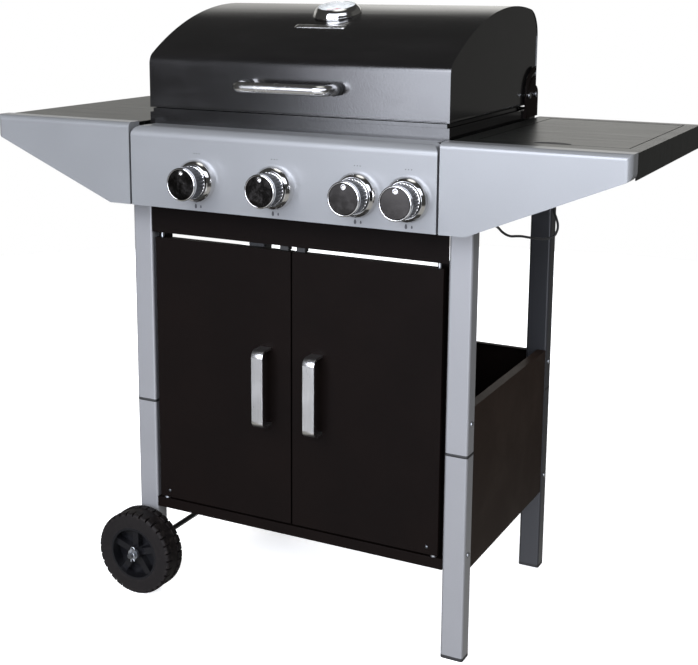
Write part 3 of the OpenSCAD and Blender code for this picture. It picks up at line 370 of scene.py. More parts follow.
def plated(name, rgb):
    """Zinc plate: crystalline cloudiness with a faint yellow and blue cast."""
    material, f = surface(name, {"Metallic": 1.0})
    cloud = f.noise(90, 4, 0.65)
    cast = f.mix(cloud, (rgb[0] * 1.06, rgb[1], rgb[2] * 0.86), (rgb[0] * 0.90, rgb[1] * 0.98, rgb[2] * 1.08))
    f.colour(cast)
    f.rough(0.26 + 0.20 * f.noise(240, 3))
    f.normal(f.bump(f.noise(1100, 2), 0.00003))
    return material


def turned_brass(name, rgb):
    """Turned brass, dulled in patches."""
    material, f = surface(name, {"Metallic": 1.0})
    dull = f.noise(60, 4, 0.65).ease(0.4, 0.7)
    ring = f.noise(1600, 2, 0.5, along=(0.1, 1, 0.1))
    f.colour(f.mix(dull, rgb, (rgb[0] * 0.62, rgb[1] * 0.58, rgb[2] * 0.62)))
    f.rough(0.24 + 0.16 * dull + 0.08 * (ring - 0.5))
    f.normal(f.bump(ring, 0.00003))
    return material


def cast_iron(name, rgb):
    """Cast iron under matte enamel: sandy surface and worn high spots."""
    material, f = surface(name, {"Specular IOR Level": 0.45})
    sand = f.noise(650, 4, 0.65)
    worn = f.noise(40, 4, 0.6).ease(0.55, 0.8)
    f.colour(f.mix(worn, rgb, (rgb[0] * 2.2, rgb[1] * 1.9, rgb[2] * 1.8)))
    f.rough(0.58 + 0.22 * (sand - 0.5) - 0.12 * worn)
    f.normal(f.bump(sand, 0.0005))
    return material


def moulded(name, rgb, rough, grain):
    """Moulded plastic or rubber with a fine spark-eroded grain."""
    material, f = surface(name, {"Specular IOR Level": 0.40})
    skin = f.noise(1300, 3, 0.6)
    cloud = f.noise(18, 3, 0.6)
    f.colour(f.mix(cloud, scaled(rgb, 0.8), scaled(rgb, 1.35)))
    f.rough(rough + 0.12 * (cloud - 0.5) + 0.08 * (skin - 0.5))
    f.normal(f.bump(skin, grain))
    return material


def tyre_rubber(name, rgb, hub_x, hub_z, outer):
    """Tyre rubber: dusty on the tread, with fine mould rings on the walls."""
    material, f = surface(name, {"Specular IOR Level": 0.20})
    x, _, z = f.axes(f.spot())
    radius = ((x - hub_x) ** 2 + (z - hub_z) ** 2) ** 0.5
    tread = radius.ease(outer - 0.010, outer - 0.001)
    dust = f.noise(130, 5, 0.7).ease(0.45, 0.75) * (0.25 + 0.75 * tread)
    rings = f.add("Math", {"operation": "SINE"}, {0: radius * 3600.0}).outputs[0]
    skin = f.noise(1000, 3, 0.6)
    dusty = (0.024, 0.020, 0.018)
    f.colour(f.mix(dust, rgb, dusty))
    f.rough(0.62 + 0.18 * dust + 0.10 * (skin - 0.5))
    ringed = f.bump(rings, 0.00008, 0.5)
    f.normal(f.bump(skin, 0.00010, 1.0, ringed))
    return material


def clear_glass(name):
    """Thin glass: nearly clear face on, and brighter towards its edge."""
    constants = {"Base Color": (0.75, 0.78, 0.78, 1), "Roughness": 0.03, "IOR": 1.5}
    material, f = surface(name, constants)
    facing = Num(f, f.add("LayerWeight", {}, {"Blend": 0.35}).outputs["Facing"])
    f.feed(f.to["Alpha"], 0.16 + 0.55 * facing ** 2.0)
    f.rough(0.02 + 0.06 * f.noise(45, 4, 0.6).ease(0.5, 0.8))
    return material


def knob_finish(name, centre, front, radius, palette):
    """Chromed knob: face painted dark with lighter blotches as painted reflection, bright rim, grey fluted
    band and bright skirt.
    """
    material, f = surface(name, {"Metallic": 1.0})
    x, y, z = f.axes(f.spot())
    away = ((x - centre.x) ** 2 + (z - centre.z) ** 2) ** 0.5
    depth = y - front
    face = (away < radius - 2.6 * MM) * (depth < 1.2 * MM)
    dimple = ((x - centre.x) ** 2 + (z - centre.z - 0.68 * radius) ** 2) ** 0.5 < 4.3 * MM
    band = (depth > 6.2 * MM) * (depth < 29.5 * MM)
    # Painted reflection: the dark face and its lighter blotches stand in for dark, brownish reflections.
    smudge = f.noise(85, 5, 0.65).ease(0.42, 0.72)
    brown_reflection_blotches = f.noise(26, 2, 0.5)
    dark = f.mix(brown_reflection_blotches, palette.knob_face_painted_reflection, scaled(palette.knob_face_painted_reflection, 1.7))
    base = f.mix(face * (1 - dimple), palette.chrome, dark)
    base = f.mix(band, base, palette.flutes)
    f.colour(base)
    f.rough(0.07 + 0.20 * band + face * (0.05 + 0.16 * smudge))
    grain = f.noise(900, 2) * band
    f.normal(f.bump(grain + 0.25 * f.noise(40, 2), 0.00008))
    return material


def printed(name, rgb):
    """Screen-printed ink: slightly uneven, matte."""
    material, f = surface(name, {"Specular IOR Level": 0.3})
    f.colour(f.mix(f.noise(900, 3), scaled(rgb, 0.8), scaled(rgb, 1.4)))
    f.rough(0.5 + 0.2 * f.noise(400, 2))
    f.normal(f.bump(f.noise(2500, 2), 0.00002))
    return material


# ---- mesh building ----

def place(name, data):
    """A new object in the scene."""
    thing = bpy.data.objects.new(name, data)
    bpy.context.scene.collection.objects.link(thing)
    return thing


def add_piece(name, bm, body, material, smooth=True):
    """Turns a bmesh in the row frame into a piece that rides on a body."""
    bmesh.ops.recalc_face_normals(bm, faces=bm.faces)
    mesh = bpy.data.meshes.new(name)
    bm.to_mesh(mesh)
    bm.free()
    mesh.materials.append(material)
    for face in mesh.polygons:
        face.use_smooth = smooth
    piece = place(name, mesh)
    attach(piece, body)
    return piece


def round_off(piece, width, segments=2):
    """Rounds a piece's sharp edges with a bevel."""
    bevel = piece.modifiers.new("edges", "BEVEL")
    bevel.width = width
    bevel.segments = segments
    bevel.limit_method = "ANGLE"
    bevel.angle_limit = math.radians(40)


def ring_faces(bm, lower, upper):
    """Joins two closed rings of vertices with quads."""
    count = len(lower)
    for i in range(count):
        j = (i + 1) % count
        bm.faces.new((lower[i], lower[j], upper[j], upper[i]))


def loft(bm, rings):
    """Joins closed rings of vertices in turn and caps both ends."""
    for lower, upper in zip(rings, rings[1:]):
        ring_faces(bm, lower, upper)
    bm.faces.new(rings[0])
    bm.faces.new(rings[-1])


def ring(bm, matrix, points):
    """Vertices at (x, y, z) points, moved by a matrix."""
    return [bm.verts.new(matrix @ Vector(point)) for point in points]


def around(steps):
    """Evenly spaced angles in one full turn."""
    return [2 * math.pi * i / steps for i in range(steps)]


def in_mm(pairs):
    """Pairs of millimetres as pairs of metres."""
    return [(a * MM, b * MM) for a, b in pairs]


def lathe(bm, matrix, profile, steps=48):
    """A solid turned about Z from (radius, height) points, closed at both ends."""
    turn = around(steps)
    loft(bm, [ring(bm, matrix, [(r * math.cos(a), r * math.sin(a), z) for a in turn]) for r, z in profile])


def slab(bm, matrix, outline, thickness):
    """A flat outline in X and Y, raised by its thickness."""
    loft(bm, [ring(bm, matrix, [(x, y, z) for x, y in outline]) for z in (0, thickness)])


def prism(bm, outline, foot, top):
    """An upright slab between two heights."""
    slab(bm, Matrix.Translation((0, 0, foot)), outline, top - foot)


def screw_head(bm, matrix, radius, height, steps=32):
    """A pan head with a cross recess, standing on Z = 0."""
    turn = around(steps)
    dome = ((1, 0), (1, 0.35), (0.93, 0.66), (0.76, 0.90), (0.60, 1))    # shares of the radius and height
    recess = [radius * (0.16 + 0.36 * abs(math.cos(2 * a)) ** 6) for a in turn]
    levels = [([share * radius] * steps, z) for share, z in dome]
    levels += [(recess, 1), ([0.9 * r for r in recess], 0.35)]
    rings = []
    for radii, z in levels:
        points = [(r * math.cos(a), r * math.sin(a), z * height) for r, a in zip(radii, turn)]
        rings.append(ring(bm, matrix, points))
    loft(bm, rings)


def tube(bm, points, radius, sides=12):
    """A round tube along points, closed at both ends."""
    rings = []
    side = None
    turn = around(sides)
    for i, point in enumerate(points):
        ahead = points[min(i + 1, len(points) - 1)] - points[max(i - 1, 0)]
        ahead.normalize()
        if side is None:
            side = ahead.orthogonal().normalized()
        side = (side - ahead * side.dot(ahead)).normalized()
        up = ahead.cross(side)
        rings.append([bm.verts.new(point + radius * (math.cos(a) * side + math.sin(a) * up)) for a in turn])
    loft(bm, rings)


def facing(origin, normal, up=Vector((0, 0, 1))):
    """A matrix at origin whose Z axis is normal and whose Y axis is as near to up as it can be."""
    z = normal.normalized()
    x = up.cross(z).normalized()
    y = z.cross(x)
    return Matrix.Translation(origin) @ Matrix((x, y, z)).transposed().to_4x4()


def middle(node):
    """The middle of a node's box."""
    low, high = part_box(node)
    return (low + high) / 2


def finish_of(node):
    """The finish that a CAD node has been given."""
    return NODES[node].data.materials[0]


def round_axis(node):
    """Middle and unit axis of a flat round node, and how far it reaches along the axis."""
    points = np.array([v.co for v in NODES[node].data.vertices])
    centre = (points.max(0) + points.min(0)) / 2
    spread = np.linalg.svd(points - points.mean(0), full_matrices=False)[2]
    axis = spread[2] if spread[2][2] > 0 else -spread[2]
    along = (points - centre) @ axis
    return Vector(centre), Vector(axis), along.min(), along.max()


# ---- operators ----

class GrillOperator(bpy.types.Operator):
    """Shared options of the grill's operators. Each one builds its pieces in the scene."""

    bl_options = {"REGISTER", "UNDO"}

    def execute(self, context):
        self.build(context.scene)
        return {"FINISHED"}


class GRILL_OT_camera(GrillOperator):
    """Place the camera"""

    bl_idname = "grill.camera"
    bl_label = "Camera"

    def build(self, scene):
        studio = scene.grill_studio
        data = bpy.data.cameras.new("camera")
        data.lens = studio.lens
        data.sensor_width = 36
        data.shift_x = studio.shift_x
        data.shift_y = studio.shift_y
        camera = place("camera", data)
        turn = Matrix.Rotation(studio.yaw, 4, "Z") @ Matrix.Rotation(math.pi / 2 + studio.pitch, 4, "X")
        turn = turn @ Matrix.Rotation(studio.roll, 4, "Z")
        camera.matrix_world = Matrix.Translation(Vector(studio.eye)) @ turn
        scene.camera = camera


# The lead's route from the side burner's valve to its electrode, in millimetres
LEAD_ROUTE = (
    (250, -26, 788), (262, -26, 787), (275, -24, 780), (286, -22, 770), (296, -19, 762), (307, -15, 757),
    (318, -11, 754), (329, -4, 752), (338, 10, 749), (345, 24, 744), (351, 36, 738), (357, 46, 728),
    (365, 58, 721), (372, 67, 720), (378, 75, 719), (387, 86, 716), (398, 98, 713), (409, 110, 712),
    (417, 118, 715), (421, 123, 723), (421, 127, 732), (417, 131, 742), (411, 136, 752), (408, 141, 761),
    (410, 146, 769), (416, 150, 776), (421, 152, 784),
)
ROUTE_ZERO_Y = 194.3  # the route's zero is the front face of the legs


class GRILL_OT_lead(GrillOperator):
    """Hang the ignition lead between the valve and the side burner"""

    bl_idname = "grill.lead"
    bl_label = "Ignition lead"

    def build(self, scene):
        colours, trim = scene.grill_colours, scene.grill_trim
        route = [Vector((x, y - ROUTE_ZERO_Y, z)) * MM for x, y, z in LEAD_ROUTE]
        curve = bpy.data.curves.new("ignition_lead_sleeve", "CURVE")
        curve.dimensions = "3D"
        curve.resolution_u = 6
        curve.bevel_depth = trim.lead_d / 2
        curve.bevel_resolution = 4
        curve.use_fill_caps = True
        spline = curve.splines.new("BEZIER")
        spline.bezier_points.add(len(route) - 1)
        for knot, point in zip(spline.bezier_points, route):
            knot.co = point
            knot.handle_left_type = knot.handle_right_type = "AUTO"
        curve.materials.append(moulded("lead_rubber", colours.plastic, 0.42, 0.00004))
        lead = place("ignition_lead_sleeve", curve)
        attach(lead, "stand")
        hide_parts("ignition_lead")


def every_node(*starts):
    """Names of the CAD nodes that begin with one of these."""
    return [name for name in NODES if name.startswith(starts)]


def paint(names, material):
    """Gives CAD nodes their finish."""
    for name in names:
        mesh = NODES[name].data
        mesh.materials.clear()
        mesh.materials.append(material)


class GRILL_OT_finishes(GrillOperator):
    """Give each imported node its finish"""

    bl_idname = "grill.finishes"
    bl_label = "Finishes"

    def build(self, scene):
        c = scene.grill_colours
        paint(["control_panel", *every_node("shelf_left_front", "shelf_right_front")],
              metallic_paint("silver_paint", c.silver, 0.36))
        paint(every_node("leg_front"), metallic_paint("leg_paint", c.legs, 0.40))
        # Painted shade: the rear legs get a darker copy of the leg paint, for the shade they stand in.
        paint(every_node("leg_rear"), metallic_paint("rear_leg_painted_shade", c.rear_legs_painted_shade, 0.34))
        coat = powder_coat("black_coat", c.powder, 0.50)
        paint(every_node("side_panel"), powder_coat("side_coat", c.side_coat, 0.42))
        paint(every_node("back_panel", "base_tray", "header_panel", "rear_cross_rail",
                         "drip_tray_runners", "lid_hinge_brackets"), coat)
        paint(["door_left", "door_right"], coat)
        paint(["lid_shell", "lid_ends"], enamel("black_enamel", c.enamel))
        paint(["firebox"], enamel("box_enamel", scaled(c.enamel, 0.7), 0.1))
        paint(["shelf_left", "shelf_right", "side_burner_lid"], shelf_coat("shelf_coat", c.shelf))
        paint(["knob_bezels", "thermometer_case", "warming_rack"], polished("chrome", c.chrome))
        paint(["lid_handle"], polished("handle_tube", c.chrome, 0.20))
        paint(every_node("door_handle"), brushed("brushed_bar", c.bar, (1, 1, 0.03)))
        paint(["burner_tubes", "flame_tamers", "side_burner_bowl"],
              brushed("stainless", c.steel, (1, 0.04, 1), 0.34))
        paint([*every_node("valve_stem"), "door_hinge_pins", "gas_manifold", "drip_tray",
               "lid_hinge_screws", "axle_clips"], plated("zinc", c.zinc))
        paint(["wheel_axle"], plated("dark_axle", scaled(c.zinc, 0.30)))
        paint(["gas_valves", "side_burner_head"], turned_brass("brass", c.brass))
        paint(["cooking_grates", "side_burner_grate"], cast_iron("cast_iron", c.iron))
        paint(["leg_collars", "foot_caps", "lid_handle_standoffs", "door_catches"],
              moulded("black_plastic", c.plastic, 0.55, 0.00008))
        paint(["front_wheel_rim", "rear_wheel_rim"], moulded("rim_plastic", c.rim, 0.16, 0.00002))
        hub = middle("front_wheel_tyre")
        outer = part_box("front_wheel_tyre")[1].z - hub.z
        paint(["front_wheel_tyre", "rear_wheel_tyre"], tyre_rubber("tyre", c.rubber, hub.x, hub.z, outer))
        paint(["thermometer_glass"], clear_glass("glass"))
        for name in every_node("knob_"):
            if name != "knob_bezels":
                low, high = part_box(name)
                finish = knob_finish(name + "_chrome", (low + high) / 2, low.y, (high.x - low.x) / 2, c)
                paint([name], finish)


# Turns on the thermometer's dial, in degrees to the left of straight up
FIRST_MARK = 135
MARK_STEP = 9
MARKS_PER_NUMBER = 5
NUMBERS = 7
NEEDLE_TURN = 118


class GRILL_OT_thermometer(GrillOperator):
    """Add the thermometer's dial, numbers and needle under its glass"""

    bl_idname = "grill.thermometer"
    bl_label = "Thermometer dial"

    def build(self, scene):
        centre, axis, low, _ = round_axis("thermometer_glass")
        seat = 2.95 * MM    # from the glass's underside down to the dial plate
        plate = facing(centre + axis * (low - seat), axis, Vector((0, 1, 0)))
        radius = (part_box("thermometer_glass")[1].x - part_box("thermometer_glass")[0].x) / 2
        white = printed("dial_white", (0.72, 0.72, 0.70))
        ink = printed("dial_ink", (0.02, 0.02, 0.02))
        red = printed("needle_red", (0.45, 0.02, 0.015))
        face = bmesh.new()
        rim = radius - 0.4 * MM
        lathe(face, plate, [(rim, 0), (rim, 0.5 * MM), (rim - 1.2 * MM, 0.7 * MM), (rim - 1.6 * MM, 0.4 * MM),
                            (0.5 * MM, 0.4 * MM)])
        add_piece("thermometer_dial", face, "lid", white)
        marks = bmesh.new()
        top = plate @ Matrix.Translation((0, 0, 0.4 * MM))
        self.ticks(marks, top, rim)
        add_piece("thermometer_scale", marks, "lid", ink, smooth=False)
        self.numbers(top, rim, ink)
        needle = bmesh.new()
        turn = top @ Matrix.Rotation(math.radians(NEEDLE_TURN), 4, "Z")
        blade = [(-1.1, -7), (1.1, -7), (1.3, 0), (0.35, 19), (-0.35, 19), (-1.3, 0)]
        boss = [(2.4, 0.1), (2.4, 1.5), (1.6, 1.9), (0.4, 2.0)]
        slab(needle, turn @ Matrix.Translation((0, 0, 0.9 * MM)), in_mm(blade), 0.4 * MM)
        lathe(needle, turn, in_mm(boss), 24)
        add_piece("thermometer_needle", needle, "lid", red)

    def ticks(self, bm, top, rim):
        """Long and short marks round the dial, leaving a gap at the bottom."""
        for i in range(MARKS_PER_NUMBER * (NUMBERS - 1) + 1):
            spin = Matrix.Rotation(math.radians(FIRST_MARK - MARK_STEP * i), 4, "Z")
            long = i % MARKS_PER_NUMBER == 0
            width = (0.8 if long else 0.4) * MM
            inner = rim - (6.5 if long else 4.6) * MM
            outer = rim - 2.4 * MM
            box = [(-width / 2, inner), (width / 2, inner), (width / 2, outer), (-width / 2, outer)]
            slab(bm, top @ spin, box, 0.1 * MM)

    def numbers(self, top, rim, ink):
        """The temperatures at the long marks, as flat meshes."""
        for i in range(NUMBERS):
            text = bpy.data.curves.new(f"dial_number_{i}", "FONT")
            text.body = str(50 * (i + 1))
            text.size = 4.6 * MM
            text.extrude = 0.05 * MM
            text.align_x = "CENTER"
            text.align_y = "CENTER"
            text.materials.append(ink)
            spin = Matrix.Rotation(math.radians(FIRST_MARK - MARK_STEP * MARKS_PER_NUMBER * i), 4, "Z")
            spot = spin @ Vector((0, rim - 10.5 * MM, 0.1 * MM))
            number = place(f"dial_number_{i}", text)
            number.matrix_world = top @ Matrix.Translation(spot)
            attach(number, "lid")


def lid_spot(x, y):
    """Place and outward normal on the lid's top, at x and y."""
    hit, spot, normal, _ = NODES["lid_shell"].ray_cast(Vector((x, y, 2.0)), Vector((0, 0, -1)))
    if not hit:
        raise RuntimeError("the lid has no surface there")
    return spot, normal


class GRILL_OT_badge(GrillOperator):
    """Lay a plain badge on the lid in front of the thermometer"""

    bl_idname = "grill.badge"
    bl_label = "Plain badge"

    def build(self, scene):
        colours, trim = scene.grill_colours, scene.grill_trim
        dial = middle("thermometer_glass")
        bm = bmesh.new()
        columns = 24
        rows = 6
        low = []
        high = []
        y0 = dial.y - 60 * MM    # the badge's middle, in front of the dial's
        for j in range(rows + 1):
            y = y0 + trim.badge_d * (j / rows - 0.5)
            for i in range(columns + 1):
                u = 2 * i / columns - 1
                corner = 1 - 0.035 * abs(2 * j / rows - 1) ** 4
                x = dial.x + u * corner * trim.badge_w / 2
                spot, normal = lid_spot(x, y)
                edge = max(abs(u), abs(2 * j / rows - 1))
                lift = trim.badge_t * (0.55 if edge > 0.99 else 1.0)
                low.append(bm.verts.new(spot - normal * 0.1 * MM))
                high.append(bm.verts.new(spot + normal * lift))
        wide = columns + 1
        for j in range(rows):
            for i in range(columns):
                a = j * wide + i
                quad = (a, a + 1, a + wide + 1, a + wide)
                bm.faces.new([high[k] for k in quad])
                bm.faces.new([low[k] for k in reversed(quad)])
        border = list(range(wide)) + [j * wide + columns for j in range(1, rows + 1)]
        border += [rows * wide + i for i in range(columns - 1, -1, -1)]
        border += [j * wide for j in range(rows - 1, 0, -1)]
        for a, b in zip(border, border[1:] + border[:1]):
            bm.faces.new((low[a], low[b], high[b], high[a]))
        metal = brushed("badge_metal", scaled(colours.bar, 1.1), (0.03, 1, 1), 0.26)
        badge = add_piece("lid_badge", bm, "lid", metal)
        badge.data.shade_smooth()


class GRILL_OT_hem(GrillOperator):
    """Roll the hem along the foot of the lid"""

    bl_idname = "grill.hem"
    bl_label = "Lid hem"

    def build(self, scene):
        trim = scene.grill_trim
        low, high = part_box("lid_shell")
        r = trim.hem_r
        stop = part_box("lid_hinge_brackets")[0].y - 6 * MM
        out = 0.4 * MM     # how far the hem stands out past the lid
        bend = 5 * MM      # its radius round the front corners
        z = low.z + r
        half = high.x - r + out
        front = low.y + r - out
        points = [Vector((-half, stop, z))]
        for side in (-1, 1):
            for step in range(7):
                a = math.radians(15 * step if side < 0 else 90 - 15 * step)
                x = side * (half - bend + bend * math.cos(a))
                points.append(Vector((x, front + bend - bend * math.sin(a), z)))
        points.append(Vector((half, stop, z)))
        bm = bmesh.new()
        tube(bm, points, r)
        add_piece("lid_hem", bm, "lid", finish_of("lid_shell"))


class GRILL_OT_box_lip(GrillOperator):
    """Stand a thin lip inside the rim of the firebox, under the lid"""

    bl_idname = "grill.box_lip"
    bl_label = "Firebox lip"

    def build(self, scene):
        low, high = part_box("firebox")
        lid_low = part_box("lid_shell")[0]
        sheet = 1.5 * MM
        x1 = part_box("lid_ends")[1].x - 4.0 * MM
        y0 = low.y + sheet + 0.6 * MM
        y1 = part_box("lid_hinge_brackets")[0].y - 20 * MM
        top = lid_low.z - 1.5 * MM
        foot = high.z - 9 * MM
        bm = bmesh.new()
        corners = [(-x1, y1), (-x1, y0), (x1, y0), (x1, y1)]
        inner = [(-x1 + sheet, y1), (-x1 + sheet, y0 + sheet), (x1 - sheet, y0 + sheet), (x1 - sheet, y1)]
        outline = corners + inner[::-1]
        prism(bm, outline, foot, top)
        lip = add_piece("firebox_lip", bm, "stand", finish_of("firebox"), smooth=False)
        round_off(lip, 0.4 * MM)


class GRILL_OT_bands(GrillOperator):
    """Wrap a black band round the joint in each leg"""

    bl_idname = "grill.bands"
    bl_label = "Leg joint bands"

    def build(self, scene):
        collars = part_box("leg_collars")
        z = (collars[0].z + collars[1].z) / 2
        proud = 0.35 * MM
        section = ((-0.2, -2.6), (1, -2.2), (1, 2.2), (-0.2, 2.6))    # share of proud, and height in mm
        bm = bmesh.new()
        for end in ("front", "rear"):
            for name in ("left", "right"):
                low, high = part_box(f"leg_{end}_{name}")
                rings = []
                for out, height in section:
                    d = out * proud
                    outline = rounded(low.x - d, low.y - d, high.x + d, high.y + d, 4 * MM + d)
                    rings.append([bm.verts.new((x, y, z + height * MM)) for x, y in outline])
                for a, b in zip(rings, rings[1:]):
                    ring_faces(bm, a, b)
                ring_faces(bm, rings[-1], rings[0])
        add_piece("leg_joint_bands", bm, "stand", finish_of("leg_collars"))


def rounded(x0, y0, x1, y1, r, steps=6):
    """Outline of a rectangle with round corners."""
    points = []
    corners = ((x1 - r, y1 - r, 0), (x0 + r, y1 - r, 90), (x0 + r, y0 + r, 180), (x1 - r, y0 + r, 270))
    for cx, cy, start in corners:
        for i in range(steps + 1):
            a = math.radians(start + 90 * i / steps)
            points.append((cx + r * math.cos(a), cy + r * math.sin(a)))
    return points


class GRILL_OT_notch_shade(GrillOperator):
    """Lay a black piece round the notch of the side burner's lid, as painted shade in the notch"""

    bl_idname = "grill.finger_grip"
    bl_label = "Notch shade"

    def build(self, scene):
        low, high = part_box("side_burner_lid")
        x = (low.x + high.x) / 2
        wide = 29 * MM
        deep = 17 * MM
        outline = [(x - wide, low.y), (x + wide, low.y)]
        for i in range(1, 28):
            a = math.pi * i / 28
            outline.append((x + wide * math.cos(a), low.y + deep * math.sin(a)))
        bm = bmesh.new()
        slab(bm, Matrix.Translation((0, 0, high.z - 3.0 * MM)), outline, 3.4 * MM)
        # Painted shade: the black piece darkens the notch where it lies in shade.
        black = finish_of("leg_collars")
        notch_piece = add_piece("burner_lid_notch_shade", bm, "side_burner_lid", black, smooth=False)
        round_off(notch_piece, 0.3 * MM)


SIDES = ((-1, "left"), (1, "right"))


class GRILL_OT_jambs(GrillOperator):
    """Stand a folded strip behind the gap between each door and its leg"""

    bl_idname = "grill.jambs"
    bl_label = "Door jambs"

    def build(self, scene):
        sheet = 1.2 * MM
        for side, name in SIDES:
            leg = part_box(f"leg_front_{name}")
            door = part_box(f"door_{name}")
            edge = leg[1].x if side < 0 else leg[0].x
            y0 = door[1].y + 6.5 * MM
            y1 = leg[1].y - 0.5 * MM
            foot = door[0].z
            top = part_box("header_panel")[0].z - 1.0 * MM
            wide = 24 * MM
            far = edge - side * wide
            inner = edge - side * (wide - sheet)
            outline = [(edge, y0), (far, y0), (far, y1), (inner, y1), (inner, y0 + sheet), (edge, y0 + sheet)]
            bm = bmesh.new()
            prism(bm, outline, foot, top)
            coat = finish_of("header_panel")
            jamb = add_piece(f"door_jamb_{name}", bm, "stand", coat, smooth=False)
            round_off(jamb, 0.3 * MM)


def flame(size):
    """Outline of a small flame, pointed at the top."""
    points = []
    for i in range(28):
        a = 2 * math.pi * i / 28
        pull = 0.5 + 0.5 * math.cos(a)
        x = 0.42 * size * math.sin(a) * (1 - 0.72 * pull ** 1.6) + 0.06 * size * math.sin(2 * a)
        points.append((x, size * (0.5 * math.cos(a) + 0.20 * pull ** 3)))
    return points


class GRILL_OT_panel_marks(GrillOperator):
    """Print plain marks above and below each knob"""

    bl_idname = "grill.panel_marks"
    bl_label = "Panel marks"

    def build(self, scene):
        colours, trim = scene.grill_colours, scene.grill_trim
        face_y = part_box("control_panel")[0].y
        disc = [(0.9 * MM * math.cos(a), 0.9 * MM * math.sin(a)) for a in around(12)]
        bm = bmesh.new()
        for i in range(1, 5):
            knob = middle(f"knob_{i}")

            def at(dx, dz):
                return facing(Vector((knob.x + dx * MM, face_y, knob.z + dz * MM)), Vector((0, -1, 0)))

            for dx in (-5, 0, 5):
                slab(bm, at(dx, 46), disc, trim.mark_t)
            slab(bm, at(-3, -44), flame(7 * MM), trim.mark_t)
            slab(bm, at(7, -44), flame(4.5 * MM), trim.mark_t)
        ink = printed("panel_ink", colours.print_ink)
        add_piece("panel_marks", bm, "stand", ink, smooth=False)


class GRILL_OT_fasteners(GrillOperator):
    """Add the frame screws and the door rivets"""

    bl_idname = "grill.fasteners"
    bl_label = "Screws and rivets"

    def build(self, scene):
        colours, trim = scene.grill_colours, scene.grill_trim
        screw = plated("screw_plate", scaled(colours.zinc, 0.9))
        self.side_screws(trim, screw)
        self.back_screws(trim, screw)
        self.door_rivets(trim, plated("rivet_plate", scaled(colours.zinc, 0.22)))

    def side_screws(self, trim, material):
        """Screws through the outer faces of the legs, at the side panels and the shelves."""
        for side, name in SIDES:
            bm = bmesh.new()
            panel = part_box(f"side_panel_{name}")
            for end in ("front", "rear"):
                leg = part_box(f"leg_{end}_{name}")
                x = leg[1].x if side > 0 else leg[0].x
                y = (leg[0].y + leg[1].y) / 2
                out = Vector((side, 0, 0))
                # Low and high on the side panel, and at the shelf
                for z in (panel[0].z + 30 * MM, panel[1].z - 25 * MM, leg[1].z - 40 * MM):
                    screw_head(bm, facing(Vector((x, y, z)), out), trim.screw_r, trim.screw_h)
            add_piece(f"side_screws_{name}", bm, "stand", material)

    def back_screws(self, trim, material):
        """Screws through the back panel and the rear rail."""
        bm = bmesh.new()
        out = Vector((0, 1, 0))
        inset = 14 * MM
        for node, shares in (("back_panel", (0.12, 0.88)), ("rear_cross_rail", (0.5,))):
            low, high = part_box(node)
            for x in (low.x + inset, high.x - inset):
                for share in shares:
                    z = low.z + share * (high.z - low.z)
                    screw_head(bm, facing(Vector((x, high.y, z)), out), trim.screw_r, trim.screw_h)
        add_piece("back_screws", bm, "stand", material)

    def door_rivets(self, trim, material):
        """A domed rivet low on each door, beside its hinge pin."""
        shape = ((1, -0.2), (1, 0.3), (0.85, 0.9), (0.5, 1.3), (0.12, 1.45))    # share of radius, and mm
        dome = [(share * trim.rivet_r, height * MM) for share, height in shape]
        for side, name in SIDES:
            low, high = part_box(f"door_{name}")
            x = (low.x if side < 0 else high.x) - side * 20 * MM
            bm = bmesh.new()
            lathe(bm, facing(Vector((x, low.y, low.z + 13 * MM)), Vector((0, -1, 0))), dome, 24)
            add_piece(f"door_rivets_{name}", bm, f"door_{name}", material)


class GRILL_OT_edges(GrillOperator):
    """Round the folded edges of the sheet parts"""

    bl_idname = "grill.edges"
    bl_label = "Rounded edges"

    def build(self, scene):
        trim = scene.grill_trim
        folded = ("door_left", "door_right", "door_handle", "side_panel", "back_panel", "base_tray")
        for name in every_node(*folded):
            weld = NODES[name].modifiers.new("weld", "WELD")
            weld.merge_threshold = 0.01 * MM
            round_off(NODES[name], trim.edge_r)


def light(name, spot, target, size, power):
    """A square area light aimed at a point."""
    data = bpy.data.lights.new(name, "AREA")
    data.shape = "RECTANGLE"
    data.size, data.size_y = size
    data.energy = power
    lamp = place(name, data)
    lamp.location = spot
    lamp.rotation_euler = (Vector(target) - Vector(spot)).to_track_quat("-Z", "Y").to_euler()
    lamp.visible_glossy = False


